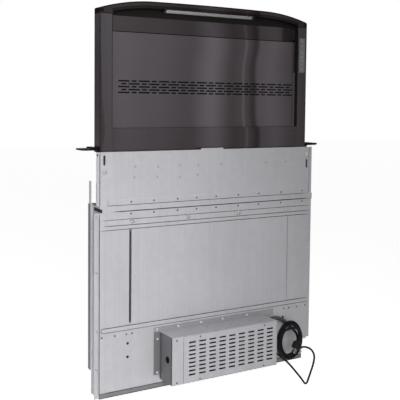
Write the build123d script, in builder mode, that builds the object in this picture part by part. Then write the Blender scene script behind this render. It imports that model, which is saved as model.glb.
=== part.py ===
from build123d import *
import math
import os

os.makedirs("parts", exist_ok=True)

# Frame: origin at the middle of the counter flange's underside, +Z up, the front faces -Y.

# Overall sizes
rise = 356.0            # travel of the riser above the counter
flange_width = 760.0
flange_depth = 54.0
flange_thick = 4.0
flange_relief = 2.0     # depth of the recess under the flange, which leaves its two ends proud
flange_foot_x = 354.0   # where the proud ends begin: they lie on the counter
riser_width = 666.0
riser_depth = 38.0
body_width = 680.0
body_depth = 52.0
body_bottom = -644.0
front_gap = 12.0        # from the riser's front to the body's front
sheet = 1.0             # galvanised and stainless sheet
fit_gap = 0.3           # between pieces that are only hooked or laid together

# Depths, from the riser's front plane backwards
riser_front = -flange_depth / 2
riser_back = riser_front + riser_depth
body_front = riser_front - front_gap
body_back = body_front + body_depth
strip_front = body_front - sheet        # strips that are laid on the body's front
inside_front = body_front + sheet
inside_back = body_back - sheet
body_side = body_width / 2
riser_side = riser_width / 2

# Heights on the body's front
body_top = -142.0
plate_top = -4.0
plate_bottom = -160.0
seam_bottom = -206.0
ridge_top = -180.0
ridge_bottom = -195.0
hem_top = -461.0
hem_bottom = -478.0
lip_height = 13.0
notch_top = -586.0
notch_side = 322.5
flange_end_right = -583.0
side_flange = 13.0

# Riser
pillar_width = 33.0
pillar_top = 349.0
pillar_bottom = -60.0
web_bottom = -6.0       # below this the posts and the rear panel are cut back to the frame
recess = 12.0           # from the pillars' front back to the slotted panel
panel_bottom = 56.0
panel_top = 305.0
rail_setback = 4.0      # from the slotted panel back to the top rail
frame_bottom = -210.0
frame_setback = 8.0     # from the posts' outer sides in to the frame under them
frame_side = riser_side - frame_setback

# Cap
crown = 389.3
shoulder_x = 180.0
shoulder_z = 387.9
corner_z = 363.5
cap_sheet = 1.5
corner_round = 5.0
band = 11.0             # height of the front band under the arch

panel_front = riser_front + recess
panel_back = panel_front + sheet
rail_front = panel_front + rail_setback
pillar_inner = riser_side - pillar_width


def depth_plane(y):
    """Plane square to Y: local X is the width, local Y the height, and it extrudes forwards."""
    return Plane.XZ.offset(-y)


def slab(low, high, mode=Mode.ADD):
    """A rectangular block between its lowest and its highest corner."""
    size = [b - a for a, b in zip(low, high)]
    with Locations(low):
        Box(*size, align=(Align.MIN, Align.MIN, Align.MIN), mode=mode)


def studs(points, face_y, radius, height, mode=Mode.ADD):
    """Round heads or holes along Y, standing forwards from the plane y = face_y."""
    with BuildSketch(depth_plane(face_y)) as discs:
        with Locations(*points):
            Circle(radius)
    extrude(discs.sketch, amount=height, mode=mode)


def save(piece, name):
    piece.part.label = name
    export_step(piece.part, f"parts/{name}.step")


# ---------------------------------------------------------------- body shell

screw_hole = 2.0
pan_points = [(x, (ridge_top + ridge_bottom) / 2 + 3) for x in (-248, -80, 87, 254)]

# Main front sheet, with two pressed stiffening ribs
rib_x = (-252.0, 262.0)
rib_bottom = -456.0
with BuildPart() as front_sheet:
    slab((-body_side, body_front, hem_top - 6), (body_side, inside_front, body_top))
    for x in rib_x:
        slab((x - 1.5, body_front - 0.8, rib_bottom), (x + 1.5, body_front, seam_bottom - 1))
    studs(pan_points, inside_front, screw_hole, sheet, mode=Mode.SUBTRACT)
save(front_sheet, "front_sheet")

# Lower front panel, with the lower right corner cut away and three wiring holes
wiring_holes = [(-259, -509), (-259, -545), (251, -509)]
with BuildPart() as lower_front_panel:
    with BuildSketch(depth_plane(inside_front)):
        with BuildLine():
            Polyline(
                (-body_side, hem_top - 6 - fit_gap),
                (body_side, hem_top - 6 - fit_gap),
                (body_side, notch_top),
                (notch_side, notch_top),
                (notch_side, body_bottom + sheet),
                (-body_side, body_bottom + sheet),
                close=True,
            )
        make_face()
    extrude(amount=sheet)
    studs(wiring_holes, inside_front, 2.5, sheet, mode=Mode.SUBTRACT)
save(lower_front_panel, "lower_front_panel")

# Hem strip over the joint of the two front sheets
with BuildPart() as lower_hem_strip:
    slab((-body_side + 4, strip_front, hem_bottom), (body_side, body_front, hem_top))
    slab((-body_side + 4, strip_front - 0.8, hem_top - 11.3), (body_side, strip_front, hem_top - 8))
save(lower_hem_strip, "lower_hem_strip")

# Seam strip with a raised ridge, under the adjustable plate
with BuildPart() as seam_strip:
    slab((-body_side, strip_front, seam_bottom), (body_side, body_front, plate_bottom - fit_gap))
    slab((-body_side + 12, strip_front - 1.2, ridge_bottom), (body_side, strip_front, ridge_top))
    studs(pan_points, body_front, screw_hole, 2 * sheet + 1.2, mode=Mode.SUBTRACT)
save(seam_strip, "seam_strip")

# Upper front plate: slides up or down on its keyhole slots to suit the counter's thickness
plate_half = 349.4
plate_inner = 339.5
tab = (-39.0, 33.0)
keyhole_width = 6.0
keyholes = [(-327.0, -25.0), (330.0, -53.5)]
keyhole_length = 26.0
with BuildPart() as upper_front_plate:
    slab((-plate_inner, strip_front, plate_bottom), (plate_inner, body_front, plate_top))
    for side in (-1, 1):
        inner, outer = sorted((side * plate_inner, side * plate_half))
        slab((inner, strip_front, body_top), (outer, body_front, plate_top))
    slab((tab[0], strip_front, plate_top), (tab[1], body_front, -fit_gap))
    with BuildSketch(depth_plane(body_front)):
        with Locations(*keyholes):
            SlotOverall(keyhole_length, keyhole_width, rotation=90)
    extrude(amount=sheet, mode=Mode.SUBTRACT)
save(upper_front_plate, "upper_front_plate")

# Angles behind the plate, one each side of the riser
guide_gap = 1.8
with BuildPart() as upper_side_guides:
    for side in (-1, 1):
        near = riser_side + guide_gap
        inner, outer = sorted((side * (near - 16), side * (near + 1.2)))
        slab((inner, body_front, body_top + fit_gap), (outer, inside_front, plate_top - 2))
        inner, outer = sorted((side * near, side * (near + 1.2)))
        slab((inner, inside_front, body_top + fit_gap), (outer, riser_front + 15, plate_top - 2))
save(upper_side_guides, "upper_side_guides")


def side_wall(side, low_end):
    """Side of the body: a web with a flange turned out at its front for the cabinet screws."""
    with BuildPart() as wall:
        inner, outer = sorted((side * (body_side - sheet), side * body_side))
        slab((inner, inside_front, low_end), (outer, inside_back, body_top))
        inner, outer = sorted((side * body_side, side * (body_side + side_flange)))
        slab((inner, inside_front + 2, low_end), (outer, inside_front + 3, plate_bottom))
    return wall


left_side_wall = side_wall(-1, body_bottom + sheet)
save(left_side_wall, "left_side_wall")

# The right side wall steps in over the cut-away corner, where the wiring glands sit
right_side_wall = side_wall(1, flange_end_right)
gland_y = inside_front + 8
gland_heights = (-616.0, -628.0)
gland_hole = 4.0
with right_side_wall:
    slab((body_side - sheet, inside_front, notch_top), (body_side, inside_back, flange_end_right))
    slab((notch_side - sheet, inside_front, notch_top), (body_side, inside_back, notch_top + sheet))
    slab((notch_side - sheet, inside_front, body_bottom + sheet), (notch_side, inside_back, notch_top))
    with BuildSketch(Plane.YZ.offset(notch_side - sheet)) as gland_holes:
        with Locations((gland_y, gland_heights[0]), (gland_y, gland_heights[1])):
            Circle(gland_hole)
    extrude(gland_holes.sketch, amount=sheet, mode=Mode.SUBTRACT)
save(right_side_wall, "right_side_wall")

# Rear sheet with the air outlet
outlet_width = 254.0
outlet_height = 83.0
outlet_z = -518.0
duct_length = 18.0
with BuildPart() as rear_sheet:
    with BuildSketch(depth_plane(body_back)):
        with BuildLine():
            Polyline(
                (-body_side, body_top),
                (body_side, body_top),
                (body_side, notch_top),
                (notch_side, notch_top),
                (notch_side, body_bottom + sheet),
                (-body_side, body_bottom + sheet),
                close=True,
            )
        make_face()
        with Locations((0, outlet_z)):
            Rectangle(outlet_width, outlet_height, mode=Mode.SUBTRACT)
    extrude(amount=sheet)
save(rear_sheet, "rear_sheet")

# Outlet collar, screwed to the rear sheet round the opening
collar_rim = 16.0
collar_bolts = (outlet_width + collar_rim, outlet_height + collar_rim)
with BuildPart() as outlet_collar:
    with BuildSketch(depth_plane(body_back + sheet)):
        with Locations((0, outlet_z)):
            Rectangle(outlet_width + 2 * collar_rim, outlet_height + 2 * collar_rim)
            Rectangle(outlet_width, outlet_height, mode=Mode.SUBTRACT)
            with GridLocations(*collar_bolts, 2, 2):
                Circle(screw_hole, mode=Mode.SUBTRACT)
    extrude(amount=sheet)
    with BuildSketch(depth_plane(body_back + duct_length)):
        with Locations((0, outlet_z)):
            Rectangle(outlet_width, outlet_height)
            Rectangle(outlet_width - 2 * sheet, outlet_height - 2 * sheet, mode=Mode.SUBTRACT)
    extrude(amount=duct_length)
save(outlet_collar, "outlet_collar")

# Upper rear plate, up to the flange, with a tab folded back under it
rear_half = 326.0
with BuildPart() as upper_rear_plate:
    slab((-rear_half, inside_back, body_top), (rear_half, body_back, flange_relief))
    slab((-rear_half, body_back, flange_relief - 1.2), (rear_half, body_back + 10, flange_relief))
save(upper_rear_plate, "upper_rear_plate")

# Bottom pan
with BuildPart() as bottom_pan:
    slab((-body_side, strip_front, body_bottom), (notch_side, body_back + sheet, body_bottom + sheet))
    slab((-body_side, strip_front, body_bottom), (notch_side, body_front, body_bottom + lip_height))
    slab((-body_side, body_back, body_bottom), (notch_side, body_back + sheet, body_bottom + lip_height))
save(bottom_pan, "bottom_pan")

# Rear rails: U-shaped legs behind the body's back corners, and their adjustable extensions
rail_back = 31.0
rail_front_y = 7.0
rail_flange = 20.0
rail_sheet = 1.2
rail_bottom = -583.0
rail_holes = (-200.0, -560.0)
rail_hole = 2.5
rail_hole_x = body_side - 9
with BuildPart() as rear_rails:
    for side in (-1, 1):
        inner, outer = sorted((side * body_side, side * (body_side + rail_sheet)))
        slab((inner, rail_front_y, rail_bottom), (outer, rail_back, body_top))
        inner, outer = sorted((side * (body_side - rail_flange), side * body_side))
        slab((inner, rail_back - rail_sheet, rail_bottom), (outer, rail_back, body_top))
    holes = [(side * rail_hole_x, z) for side in (-1, 1) for z in rail_holes]
    studs(holes, rail_back, rail_hole, rail_sheet, mode=Mode.SUBTRACT)
save(rear_rails, "rear_rails")

extension_top = -82.0
with BuildPart() as rail_extensions:
    for side in (-1, 1):
        inner, outer = sorted((side * (body_side - rail_sheet), side * body_side))
        slab((inner, body_back + 1, -190), (outer, rail_back - rail_sheet - 1, extension_top))
save(rail_extensions, "rail_extensions")

# ---------------------------------------------------------------- counter flange

opening_gap = 1.0
step_width = 15.0
step_height = 3.5
flange_corner = 9.0
with BuildPart() as counter_flange:
    with BuildSketch(Plane.XY):
        RectangleRounded(flange_width, flange_depth, flange_corner)
    extrude(amount=flange_thick)
    for side in (-1, 1):
        near = riser_side + opening_gap
        inner, outer = sorted((side * near, side * (near + step_width)))
        low = (inner, riser_front + 2, flange_thick)
        slab(low, (outer, flange_depth / 2 - 2, flange_thick + step_height))
    low = (-riser_side - opening_gap, -flange_depth, 0)
    high = (riser_side + opening_gap, riser_back + opening_gap, 2 * flange_thick + step_height)
    slab(low, high, mode=Mode.SUBTRACT)
    low = (-flange_foot_x, -flange_depth, 0)
    slab(low, (flange_foot_x, flange_depth, flange_relief), mode=Mode.SUBTRACT)
save(counter_flange, "counter_flange")

# Small black angles under the flange's ends
with BuildPart() as flange_brackets:
    for side in (-1, 1):
        near = riser_side + guide_gap + 1.2
        inner, outer = sorted((side * near, side * (near + 1.5)))
        slab((inner, riser_front - 4, -30), (outer, riser_front + 15, flange_relief))
        inner, outer = sorted((side * (near + 1.5), side * (near + 17)))
        slab((inner, riser_front - 4, flange_relief - 2), (outer, riser_front + 15, flange_relief))
save(flange_brackets, "flange_brackets")

# ---------------------------------------------------------------- fasteners on the body

rivet_x = (-251, -184, -112, -52, 11, 85, 156, 236, 315)
rivet_rows = (-135.0, -166.0)
strip_rivets = [(x, z) for z in rivet_rows for x in rivet_x]
panel_rivets = [(x, -484.0) for x in (-333, -296, -263, -246, 254, 273, 302, 334)]
with BuildPart() as sheet_rivets:
    studs(strip_rivets, strip_front, 2.6, 1.1)
    studs(panel_rivets, body_front, 2.6, 1.1)
    rims = sheet_rivets.edges().filter_by(GeomType.CIRCLE)
    fillet([rim for rim in rims if rim.center().Y not in (strip_front, body_front)], 0.5)
save(sheet_rivets, "sheet_rivets")

ridge_front = strip_front - 1.2
flange_front = inside_front + 2
left_screw_heights = (-170, -314, -466, -567)
side_points = [(-body_side - 7, z) for z in left_screw_heights]
side_points.append((body_side + 6, -311))
clamp_points = [(-327.0, -54.0), (330.0, -28.0)]
with BuildPart() as sheet_screws:
    studs(pan_points, ridge_front, 4.5, 2.4)
    studs(side_points, flange_front, 3.5, 1.8)
    studs(clamp_points, strip_front, 6.0, 2.0)
    fronts = sheet_screws.faces().filter_by(Axis.Y).filter_by(lambda face: face.normal_at().Y < 0)
    fillet(fronts.edges(), 0.9)
    studs(pan_points, inside_front + 6, screw_hole, 6 + inside_front - ridge_front)
save(sheet_screws, "sheet_screws")

# ---------------------------------------------------------------- lift drive

screw_y = 3.5
screw_radius = 4.0
screw_top = -180.0
gearbox_top = -592.0
gearbox_bottom = -626.0
gearbox_half = 30.0
coupler_top = gearbox_top + 17

with BuildPart() as motor_bracket:
    low = (-gearbox_half - 14, inside_front + 4, body_bottom + sheet)
    slab(low, (gearbox_half + 14, inside_back - 2, gearbox_bottom))
    low = (-gearbox_half - 12, inside_front, body_bottom + sheet)
    slab(low, (gearbox_half + 12, inside_back, gearbox_bottom - 2), mode=Mode.SUBTRACT)
save(motor_bracket, "motor_bracket")

with BuildPart() as lift_gearbox:
    slab((-gearbox_half, -30, gearbox_bottom), (gearbox_half, inside_back - 2, gearbox_top))
    fillet(lift_gearbox.edges().filter_by(Axis.Z), 4)
save(lift_gearbox, "lift_gearbox")

motor_radius = 16.0
motor_length = 70.0
motor_y = -11.0
with BuildPart() as lift_motor:
    with BuildSketch(Plane.YZ.offset(gearbox_half)):
        with Locations((motor_y, (gearbox_top + gearbox_bottom) / 2)):
            Circle(motor_radius)
    extrude(amount=motor_length)
    fillet(lift_motor.edges().sort_by(Axis.X)[-1], 3)
    with BuildSketch(Plane.YZ.offset(gearbox_half + motor_length)):
        with Locations((motor_y, (gearbox_top + gearbox_bottom) / 2)):
            Circle(6)
    extrude(amount=4)
save(lift_motor, "lift_motor")

with BuildPart() as drive_coupler:
    with BuildSketch(Plane.XY.offset(gearbox_top + fit_gap)):
        with Locations((0, screw_y)):
            Circle(7.5)
    extrude(amount=coupler_top - gearbox_top - fit_gap)
    chamfer(drive_coupler.edges().filter_by(GeomType.CIRCLE), 0.8)
    with BuildSketch(Plane.XY.offset(gearbox_top + 5)):
        with Locations((0, screw_y)):
            Circle(screw_radius)
    extrude(amount=coupler_top - gearbox_top, mode=Mode.SUBTRACT)
save(drive_coupler, "drive_coupler")

with BuildPart() as lift_screw:
    with BuildSketch(Plane.XY.offset(gearbox_top + 5)):
        with Locations((0, screw_y)):
            Circle(screw_radius)
    extrude(amount=screw_top - gearbox_top - 5)
    chamfer(lift_screw.edges().sort_by(Axis.Z)[-1], 1.0)
save(lift_screw, "lift_screw")

# Guide rails on the side walls, in which the riser's glide blocks run
guide_front = -20.0
guide_back = 0.0
guide_reach = 5.0
guide_bottom = -580.0
guide_top = body_top - 4
with BuildPart() as guide_rails:
    for side in (-1, 1):
        wall = side * (body_side - sheet)
        inner, outer = sorted((wall, wall - side * 1))
        slab((inner, guide_front, guide_bottom), (outer, guide_back, guide_top))
        inner, outer = sorted((wall - side * 1, wall - side * guide_reach))
        slab((inner, guide_front, guide_bottom), (outer, guide_front + 1, guide_top))
        slab((inner, guide_back - 1, guide_bottom), (outer, guide_back, guide_top))
save(guide_rails, "guide_rails")

switch_x = 200.0
switch_z = -200.0
with BuildPart() as position_switches:
    for z in (switch_z, switch_z - rise):
        slab((switch_x - 8, inside_front, z - 12), (switch_x + 8, inside_front + 6, z + 12))
    fillet(position_switches.edges().filter_by(Axis.Y), 2)
save(position_switches, "position_switches")

# ---------------------------------------------------------------- riser


def pillar(side):
    """Folded sheet post: front, outer side, and returns behind it."""
    with BuildPart() as post:
        outer_x = side * riser_side
        inner_x = side * pillar_inner
        low, high = sorted((outer_x, inner_x))
        slab((low, riser_front, pillar_bottom), (high, riser_front + sheet, pillar_top))
        low, high = sorted((outer_x, outer_x - side * sheet))
        slab((low, riser_front, web_bottom), (high, riser_back - sheet, pillar_top))
        low, high = sorted((outer_x, outer_x - side * 12))
        slab((low, riser_back - 2 * sheet, web_bottom), (high, riser_back - sheet, pillar_top))
        low, high = sorted((inner_x, inner_x + side * sheet))
        slab((low, riser_front, pillar_bottom + 30), (high, riser_back - sheet, pillar_top))
    return post


left_pillar = pillar(-1)
save(left_pillar, "left_pillar")
right_pillar = pillar(1)
save(right_pillar, "right_pillar")

with BuildPart() as riser_rear_panel:
    slab((-riser_side, riser_back - sheet, web_bottom), (riser_side, riser_back, pillar_top))
    slab((-frame_side, riser_back - sheet, pillar_bottom), (frame_side, riser_back, web_bottom))
save(riser_rear_panel, "riser_rear_panel")

# Lower cross panel, flush with the pillars, with a shelf at its top that carries the filters
filter_back = -1.7
cross_half = pillar_inner - fit_gap
with BuildPart() as lower_cross_panel:
    slab((-cross_half, riser_front, pillar_bottom), (cross_half, riser_front + sheet, panel_bottom))
    slab((-cross_half, riser_front + sheet, panel_bottom - sheet), (cross_half, filter_back, panel_bottom))
save(lower_cross_panel, "lower_cross_panel")

# Top rail, set back behind the slotted panel's upper edge
with BuildPart() as top_rail:
    slab((-cross_half, rail_front, panel_top - 20), (cross_half, rail_front + sheet, pillar_top - 2))
save(top_rail, "top_rail")


def arch_line(drop):
    """The cap's arch from corner to corner, lowered by drop."""
    slope = -2 * (crown - shoulder_z) / shoulder_x
    end_z = corner_z - drop
    ThreePointArc((-shoulder_x, shoulder_z - drop), (0, crown - drop), (shoulder_x, shoulder_z - drop))
    right = TangentArc((shoulder_x, shoulder_z - drop), (riser_side, end_z), tangent=(1, slope))
    left_start = (-shoulder_x, shoulder_z - drop)
    left = TangentArc(left_start, (-riser_side, end_z), tangent=(-1, slope))
    return left @ 1, right @ 1


def arch_face(drop, inset, floor):
    """Area under the lowered arch down to a level floor, cut off upright inside its corners."""
    with BuildLine() as outline:
        left_end, right_end = arch_line(drop)
        Polyline(left_end, (left_end.X, floor), (right_end.X, floor), right_end)
    make_face(outline.edges())
    with Locations((0, floor)):
        Rectangle(2 * (riser_side - inset), 2 * (crown - floor), mode=Mode.INTERSECT)


def round_ends(outline, radius):
    """Rounds the two upper corners of an area under the arch."""
    upper = outline.vertices().filter_by(lambda vertex: vertex.Y > pillar_top + 1).sort_by(Axis.X)
    fillet([upper[0], upper[-1]], radius)


with BuildPart() as cap:
    with BuildSketch(depth_plane(riser_back)) as hood:
        arch_face(0, 0, pillar_top)
        round_ends(hood, corner_round)
    extrude(amount=riser_depth)
    with BuildSketch(depth_plane(riser_back - cap_sheet)) as hollow:
        arch_face(cap_sheet, cap_sheet, pillar_top)
        round_ends(hollow, corner_round - cap_sheet)
    extrude(amount=riser_depth - 2 * cap_sheet, mode=Mode.SUBTRACT)
    with BuildSketch(depth_plane(riser_front + cap_sheet)):
        arch_face(band, pillar_width, pillar_top)
    extrude(amount=cap_sheet, mode=Mode.SUBTRACT)
save(cap, "cap")

# Second band, set back under the front one
trim_back = riser_front + cap_sheet + 2
with BuildPart() as cap_trim:
    with BuildSketch(depth_plane(trim_back)):
        arch_face(band - 3, pillar_width - 3, pillar_top + fit_gap)
        with BuildSketch(mode=Mode.SUBTRACT):
            arch_face(band + 7, pillar_width + 4, pillar_top - 2 * band)
    extrude(amount=trim_back - riser_front - cap_sheet)
save(cap_trim, "cap_trim")

# Dark backboard of the recess under the arch
with BuildPart() as soffit_board:
    with BuildSketch(depth_plane(rail_front + sheet)):
        arch_face(cap_sheet + fit_gap, pillar_width - 8, pillar_top - 2 + fit_gap)
    extrude(amount=sheet)
save(soffit_board, "soffit_board")

# Black corner plugs at the cap's upper ends
with BuildPart() as cap_corners:
    for side in (-1, 1):
        inner, outer = sorted((side * (riser_side - 4), side * (riser_side - cap_sheet)))
        low = (inner, riser_front + cap_sheet, pillar_top)
        slab(low, (outer, riser_back - cap_sheet, corner_z - corner_round - 1))
save(cap_corners, "cap_corners")

# Work light: a slanted bar under the arch
light_half = 139.0
light_tilt = 50.0
light_y = rail_front - 7.5
light_height = 13.0
light_z = 366.0
light_lean = math.radians(light_tilt)
light_aim = (0, -math.sin(light_lean), -math.cos(light_lean))
light_plane = Plane(origin=(0, light_y, light_z), x_dir=(1, 0, 0), z_dir=light_aim)
with BuildPart() as light_housing:
    with BuildSketch(light_plane):
        Rectangle(2 * light_half + 12, light_height)
    extrude(amount=-4)
    with BuildSketch(light_plane):
        RectangleRounded(2 * light_half, light_height - 3, 3)
    extrude(amount=-2.5, mode=Mode.SUBTRACT)
save(light_housing, "light_housing")

with BuildPart() as light_lens:
    with BuildSketch(light_plane):
        RectangleRounded(2 * light_half - 0.4, light_height - 3.4, 2.8)
    extrude(amount=-1)
save(light_lens, "light_lens")

with BuildPart() as led_board:
    with BuildSketch(light_plane.offset(-2.5)):
        Rectangle(2 * light_half - 8, light_height - 5)
    extrude(amount=1.2)
save(led_board, "led_board")

# Galvanised lower frame of the riser, open above and below
frame_front = riser_front + sheet
frame_back = riser_back - 2 * sheet
with BuildPart() as riser_frame:
    with BuildSketch(Plane.XY.offset(frame_bottom)):
        middle = (frame_front + frame_back) / 2
        with Locations((0, middle)):
            Rectangle(2 * frame_side, frame_back - frame_front)
            Rectangle(2 * (frame_side - sheet), frame_back - frame_front - 2 * sheet, mode=Mode.SUBTRACT)
    extrude(amount=pillar_bottom + 25 - frame_bottom)
save(riser_frame, "riser_frame")

# Cross beam that carries the lift nut
beam_bottom = -207.0
beam_thick = 2.0
nut_height = 20.0
with BuildPart() as lift_beam:
    low = (-frame_side + sheet, -9, beam_bottom)
    slab(low, (frame_side - sheet, frame_back - sheet, beam_bottom + beam_thick))
    with BuildSketch(Plane.XY.offset(beam_bottom)):
        with Locations((0, screw_y)):
            Circle(screw_radius + fit_gap)
        with GridLocations(90, 1, 6, 1):
            Circle(5)
    extrude(amount=beam_thick, mode=Mode.SUBTRACT)
save(lift_beam, "lift_beam")

nut_clearance = 0.06
with BuildPart() as lift_nut:
    low = (-13, -6, beam_bottom + beam_thick)
    slab(low, (13, frame_back - sheet - fit_gap, beam_bottom + beam_thick + nut_height))
    fillet(lift_nut.edges().filter_by(Axis.Z), 2)
    with BuildSketch(Plane.XY.offset(beam_bottom)):
        with Locations((0, screw_y)):
            Circle(screw_radius + nut_clearance)
    extrude(amount=nut_height + 5, mode=Mode.SUBTRACT)
save(lift_nut, "lift_nut")

glide_length = 18.0
glide_heights = (frame_bottom + 2, body_top - 26)
with BuildPart() as glide_blocks:
    for side in (-1, 1):
        for z in glide_heights:
            outer_x = side * (body_side - sheet - 1 - fit_gap)
            inner, outer = sorted((side * frame_side, outer_x))
            low = (inner, guide_front + 1 + fit_gap, z)
            slab(low, (outer, guide_back - 1 - fit_gap, z + glide_length))
    fillet(glide_blocks.edges().filter_by(Axis.X), 2)
save(glide_blocks, "glide_blocks")

# Mesh filters behind the slotted panel
filter_front = rail_front + sheet + fit_gap
with BuildPart() as mesh_filters:
    for side in (-1, 1):
        inner, outer = sorted((side * 2, side * (pillar_inner - 2)))
        slab((inner, filter_front, panel_bottom), (outer, filter_back, panel_top - 5))
save(mesh_filters, "mesh_filters")

# Touch strip on the right pillar, and the board behind it
strip_inset = 5.0
strip_width = 21.0
strip_x = (pillar_inner + strip_inset, pillar_inner + strip_inset + strip_width)
strip_z = (216.0, 317.0)
with BuildPart() as control_strip:
    slab((strip_x[0], riser_front - 0.8, strip_z[0]), (strip_x[1], riser_front, strip_z[1]))
    fillet(control_strip.edges().filter_by(Axis.Y), 3)
save(control_strip, "control_strip")

with BuildPart() as touch_board:
    low = (strip_x[0] + 1, riser_front + sheet, strip_z[0] + 2)
    slab(low, (strip_x[1] - 1, riser_front + sheet + 1.6, strip_z[1] - 2))
save(touch_board, "touch_board")

# ---------------------------------------------------------------- slotted front panel

slot_rows = 5
slot_row_pitch = 7.5
slot_top_z = 179.0
slot_height = 4.0
long_slot = 33.0
short_slot = 15.0
slot_gap = 5.7
slot_pairs = 9
slot_middle = 6.0       # the rows sit a little to the right of the panel's middle


def slot_row(first, second):
    """Centres and lengths along one row, long and short slots taking turns."""
    row = [first] + [second, first] * slot_pairs
    x = slot_middle - (sum(row) + slot_gap * (len(row) - 1)) / 2
    places = []
    for length in row:
        places.append((x + length / 2, length))
        x += length + slot_gap
    return places


panel_half = cross_half - fit_gap
with BuildPart() as slotted_panel:
    low = (-panel_half, panel_front, panel_bottom + fit_gap)
    slab(low, (panel_half, panel_back, panel_top))
    low = (-panel_half, panel_back, panel_top - sheet)
    slab(low, (panel_half, rail_front - fit_gap, panel_top))
    with BuildSketch(depth_plane(panel_back)):
        for row in range(slot_rows):
            z = slot_top_z - row * slot_row_pitch
            first, second = (long_slot, short_slot) if row % 2 == 0 else (short_slot, long_slot)
            for x, length in slot_row(first, second):
                with Locations((x, z)):
                    SlotOverall(length, slot_height)
    extrude(amount=sheet, mode=Mode.SUBTRACT)
save(slotted_panel, "slotted_panel")

with BuildPart() as panel_magnets:
    for x in (-panel_half + 25, panel_half - 25):
        for z in (panel_bottom + 20, panel_top - 16):
            slab((x - 10, panel_back, z - 6), (x + 10, rail_front - fit_gap, z + 6))
save(panel_magnets, "panel_magnets")

# ---------------------------------------------------------------- control box on the front

box_left = -163.5
box_right = 177.8
box_top = -491.5
box_bottom = -619.7
box_front = body_front - 70
box_seam = -129.5
box_wall = 1.2
ear = 18.0
ear_top = -486.0
ear_bottom = -608.0
ear_right = 215.0       # the top ear runs on past the box's right side, over the mains cord
ear_right_low = -497.0
grommet_y = body_front - 45.5
grommet_z = -556.0
grommet_hole = 6.0
mains_y = body_front - 8.0
mains_z = -506.0
link_y = body_front - 10.0
link_z = -606.0
mains_hole = 5.0

with BuildPart() as control_box:
    slab((box_left, box_front, box_bottom), (box_right, body_front, box_top))
    low = (box_left + box_wall, box_front, box_bottom + box_wall)
    high = (box_right - box_wall, body_front - box_wall, box_top - box_wall)
    slab(low, high, mode=Mode.SUBTRACT)
    slab((box_left, box_front, box_bottom), (box_seam, box_front + box_wall, box_top))
    slab((box_left - ear, body_front - box_wall, ear_bottom), (box_left, body_front, ear_top))
    slab((box_left - ear, body_front - box_wall, box_top), (box_right, body_front, hem_bottom - fit_gap))
    slab((box_right, body_front - box_wall, ear_right_low), (ear_right, body_front, hem_bottom - fit_gap))
    with BuildSketch(Plane.YZ.offset(box_left)):
        with Locations((grommet_y, grommet_z)):
            Circle(grommet_hole)
    extrude(amount=box_wall, mode=Mode.SUBTRACT)
    with BuildSketch(Plane.YZ.offset(box_right - box_wall)):
        with Locations((mains_y, mains_z), (link_y, link_z)):
            Circle(mains_hole)
    extrude(amount=box_wall, mode=Mode.SUBTRACT)
save(control_box, "control_box")

cooling_columns = 9
cooling_rows = 9
cooling_pitch = (31.8, 10.9)
cooling_slot = (20.5, 4.0)
cooling_first = (-102.3, -511.0)
with BuildPart() as control_box_cover:
    low = (box_seam + fit_gap, box_front, box_bottom + box_wall + fit_gap)
    high = (box_right - box_wall - fit_gap, box_front + box_wall, box_top - box_wall - fit_gap)
    slab(low, high)
    with BuildSketch(depth_plane(box_front + box_wall)):
        for column in range(cooling_columns):
            for row in range(cooling_rows):
                x = cooling_first[0] + column * cooling_pitch[0]
                z = cooling_first[1] - row * cooling_pitch[1]
                with Locations((x, z)):
                    Rectangle(*cooling_slot)
    extrude(amount=box_wall, mode=Mode.SUBTRACT)
save(control_box_cover, "control_box_cover")

cover_points = [(-150, -500.5), (-149, -613), (-78, -499), (-78, -614), (133, -499), (132, -614)]
ear_front = body_front - box_wall
ear_points = [(box_left - 7, -510), (box_left - 7, -602)]
ear_points += [(x, -484.5) for x in (-172, -107, -34, 37, 120)]
with BuildPart() as box_screws:
    studs(cover_points, box_front, 2.4, 1.2)
    studs(ear_points, ear_front, 3.4, 1.6)
    fronts = box_screws.faces().filter_by(Axis.Y).filter_by(lambda face: face.normal_at().Y < 0)
    fillet(fronts.edges(), 0.5)
save(box_screws, "box_screws")

with BuildPart() as box_grommet:
    with BuildSketch(Plane.YZ.offset(box_left - 1.5)):
        with Locations((grommet_y, grommet_z)):
            Circle(grommet_hole + 2)
            Circle(grommet_hole - 2, mode=Mode.SUBTRACT)
    extrude(amount=1.5)
    with BuildSketch(Plane.YZ.offset(box_left)):
        with Locations((grommet_y, grommet_z)):
            Circle(grommet_hole)
            Circle(grommet_hole - 2, mode=Mode.SUBTRACT)
    extrude(amount=box_wall + 1)
save(box_grommet, "box_grommet")

board_y = body_front - box_wall - 8
board_x = (-100.0, 120.0)
board_z = (-602.0, -512.0)
with BuildPart() as control_board:
    slab((board_x[0], board_y - 1.6, board_z[0]), (board_x[1], board_y, board_z[1]))
    posts = [(x, z) for x in (board_x[0] + 8, board_x[1] - 8) for z in (board_z[0] + 8, board_z[1] - 8)]
    studs(posts, body_front - box_wall, 3, 8)
save(control_board, "control_board")

with BuildPart() as transformer:
    slab((50, board_y - 40, -590), (98, board_y - 1.6, -545))
    slab((57, board_y - 44, -583), (91, board_y - 40, -552))
    fillet(transformer.edges().filter_by(Axis.Y), 2)
save(transformer, "transformer")

with BuildPart() as terminal_block:
    slab((-80, board_y - 16, -600), (-5, board_y - 1.6, -586))
    for step in range(6):
        x = -74 + step * 12.5
        slab((x, board_y - 16, -597), (x + 8, board_y - 12, -589), mode=Mode.SUBTRACT)
save(terminal_block, "terminal_block")

# ---------------------------------------------------------------- cords


def route_radii(points):
    """Arc radius at each inner point: 0.45 of the shorter run over the tangent of half the turn."""
    radii = []
    for before, here, after in zip(points, points[1:], points[2:]):
        run_in = Vector(*here) - Vector(*before)
        run_out = Vector(*after) - Vector(*here)
        turn = math.radians(run_in.get_angle(run_out))
        radii.append(0.45 * min(run_in.length, run_out.length) / math.tan(turn / 2))
    return radii


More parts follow.
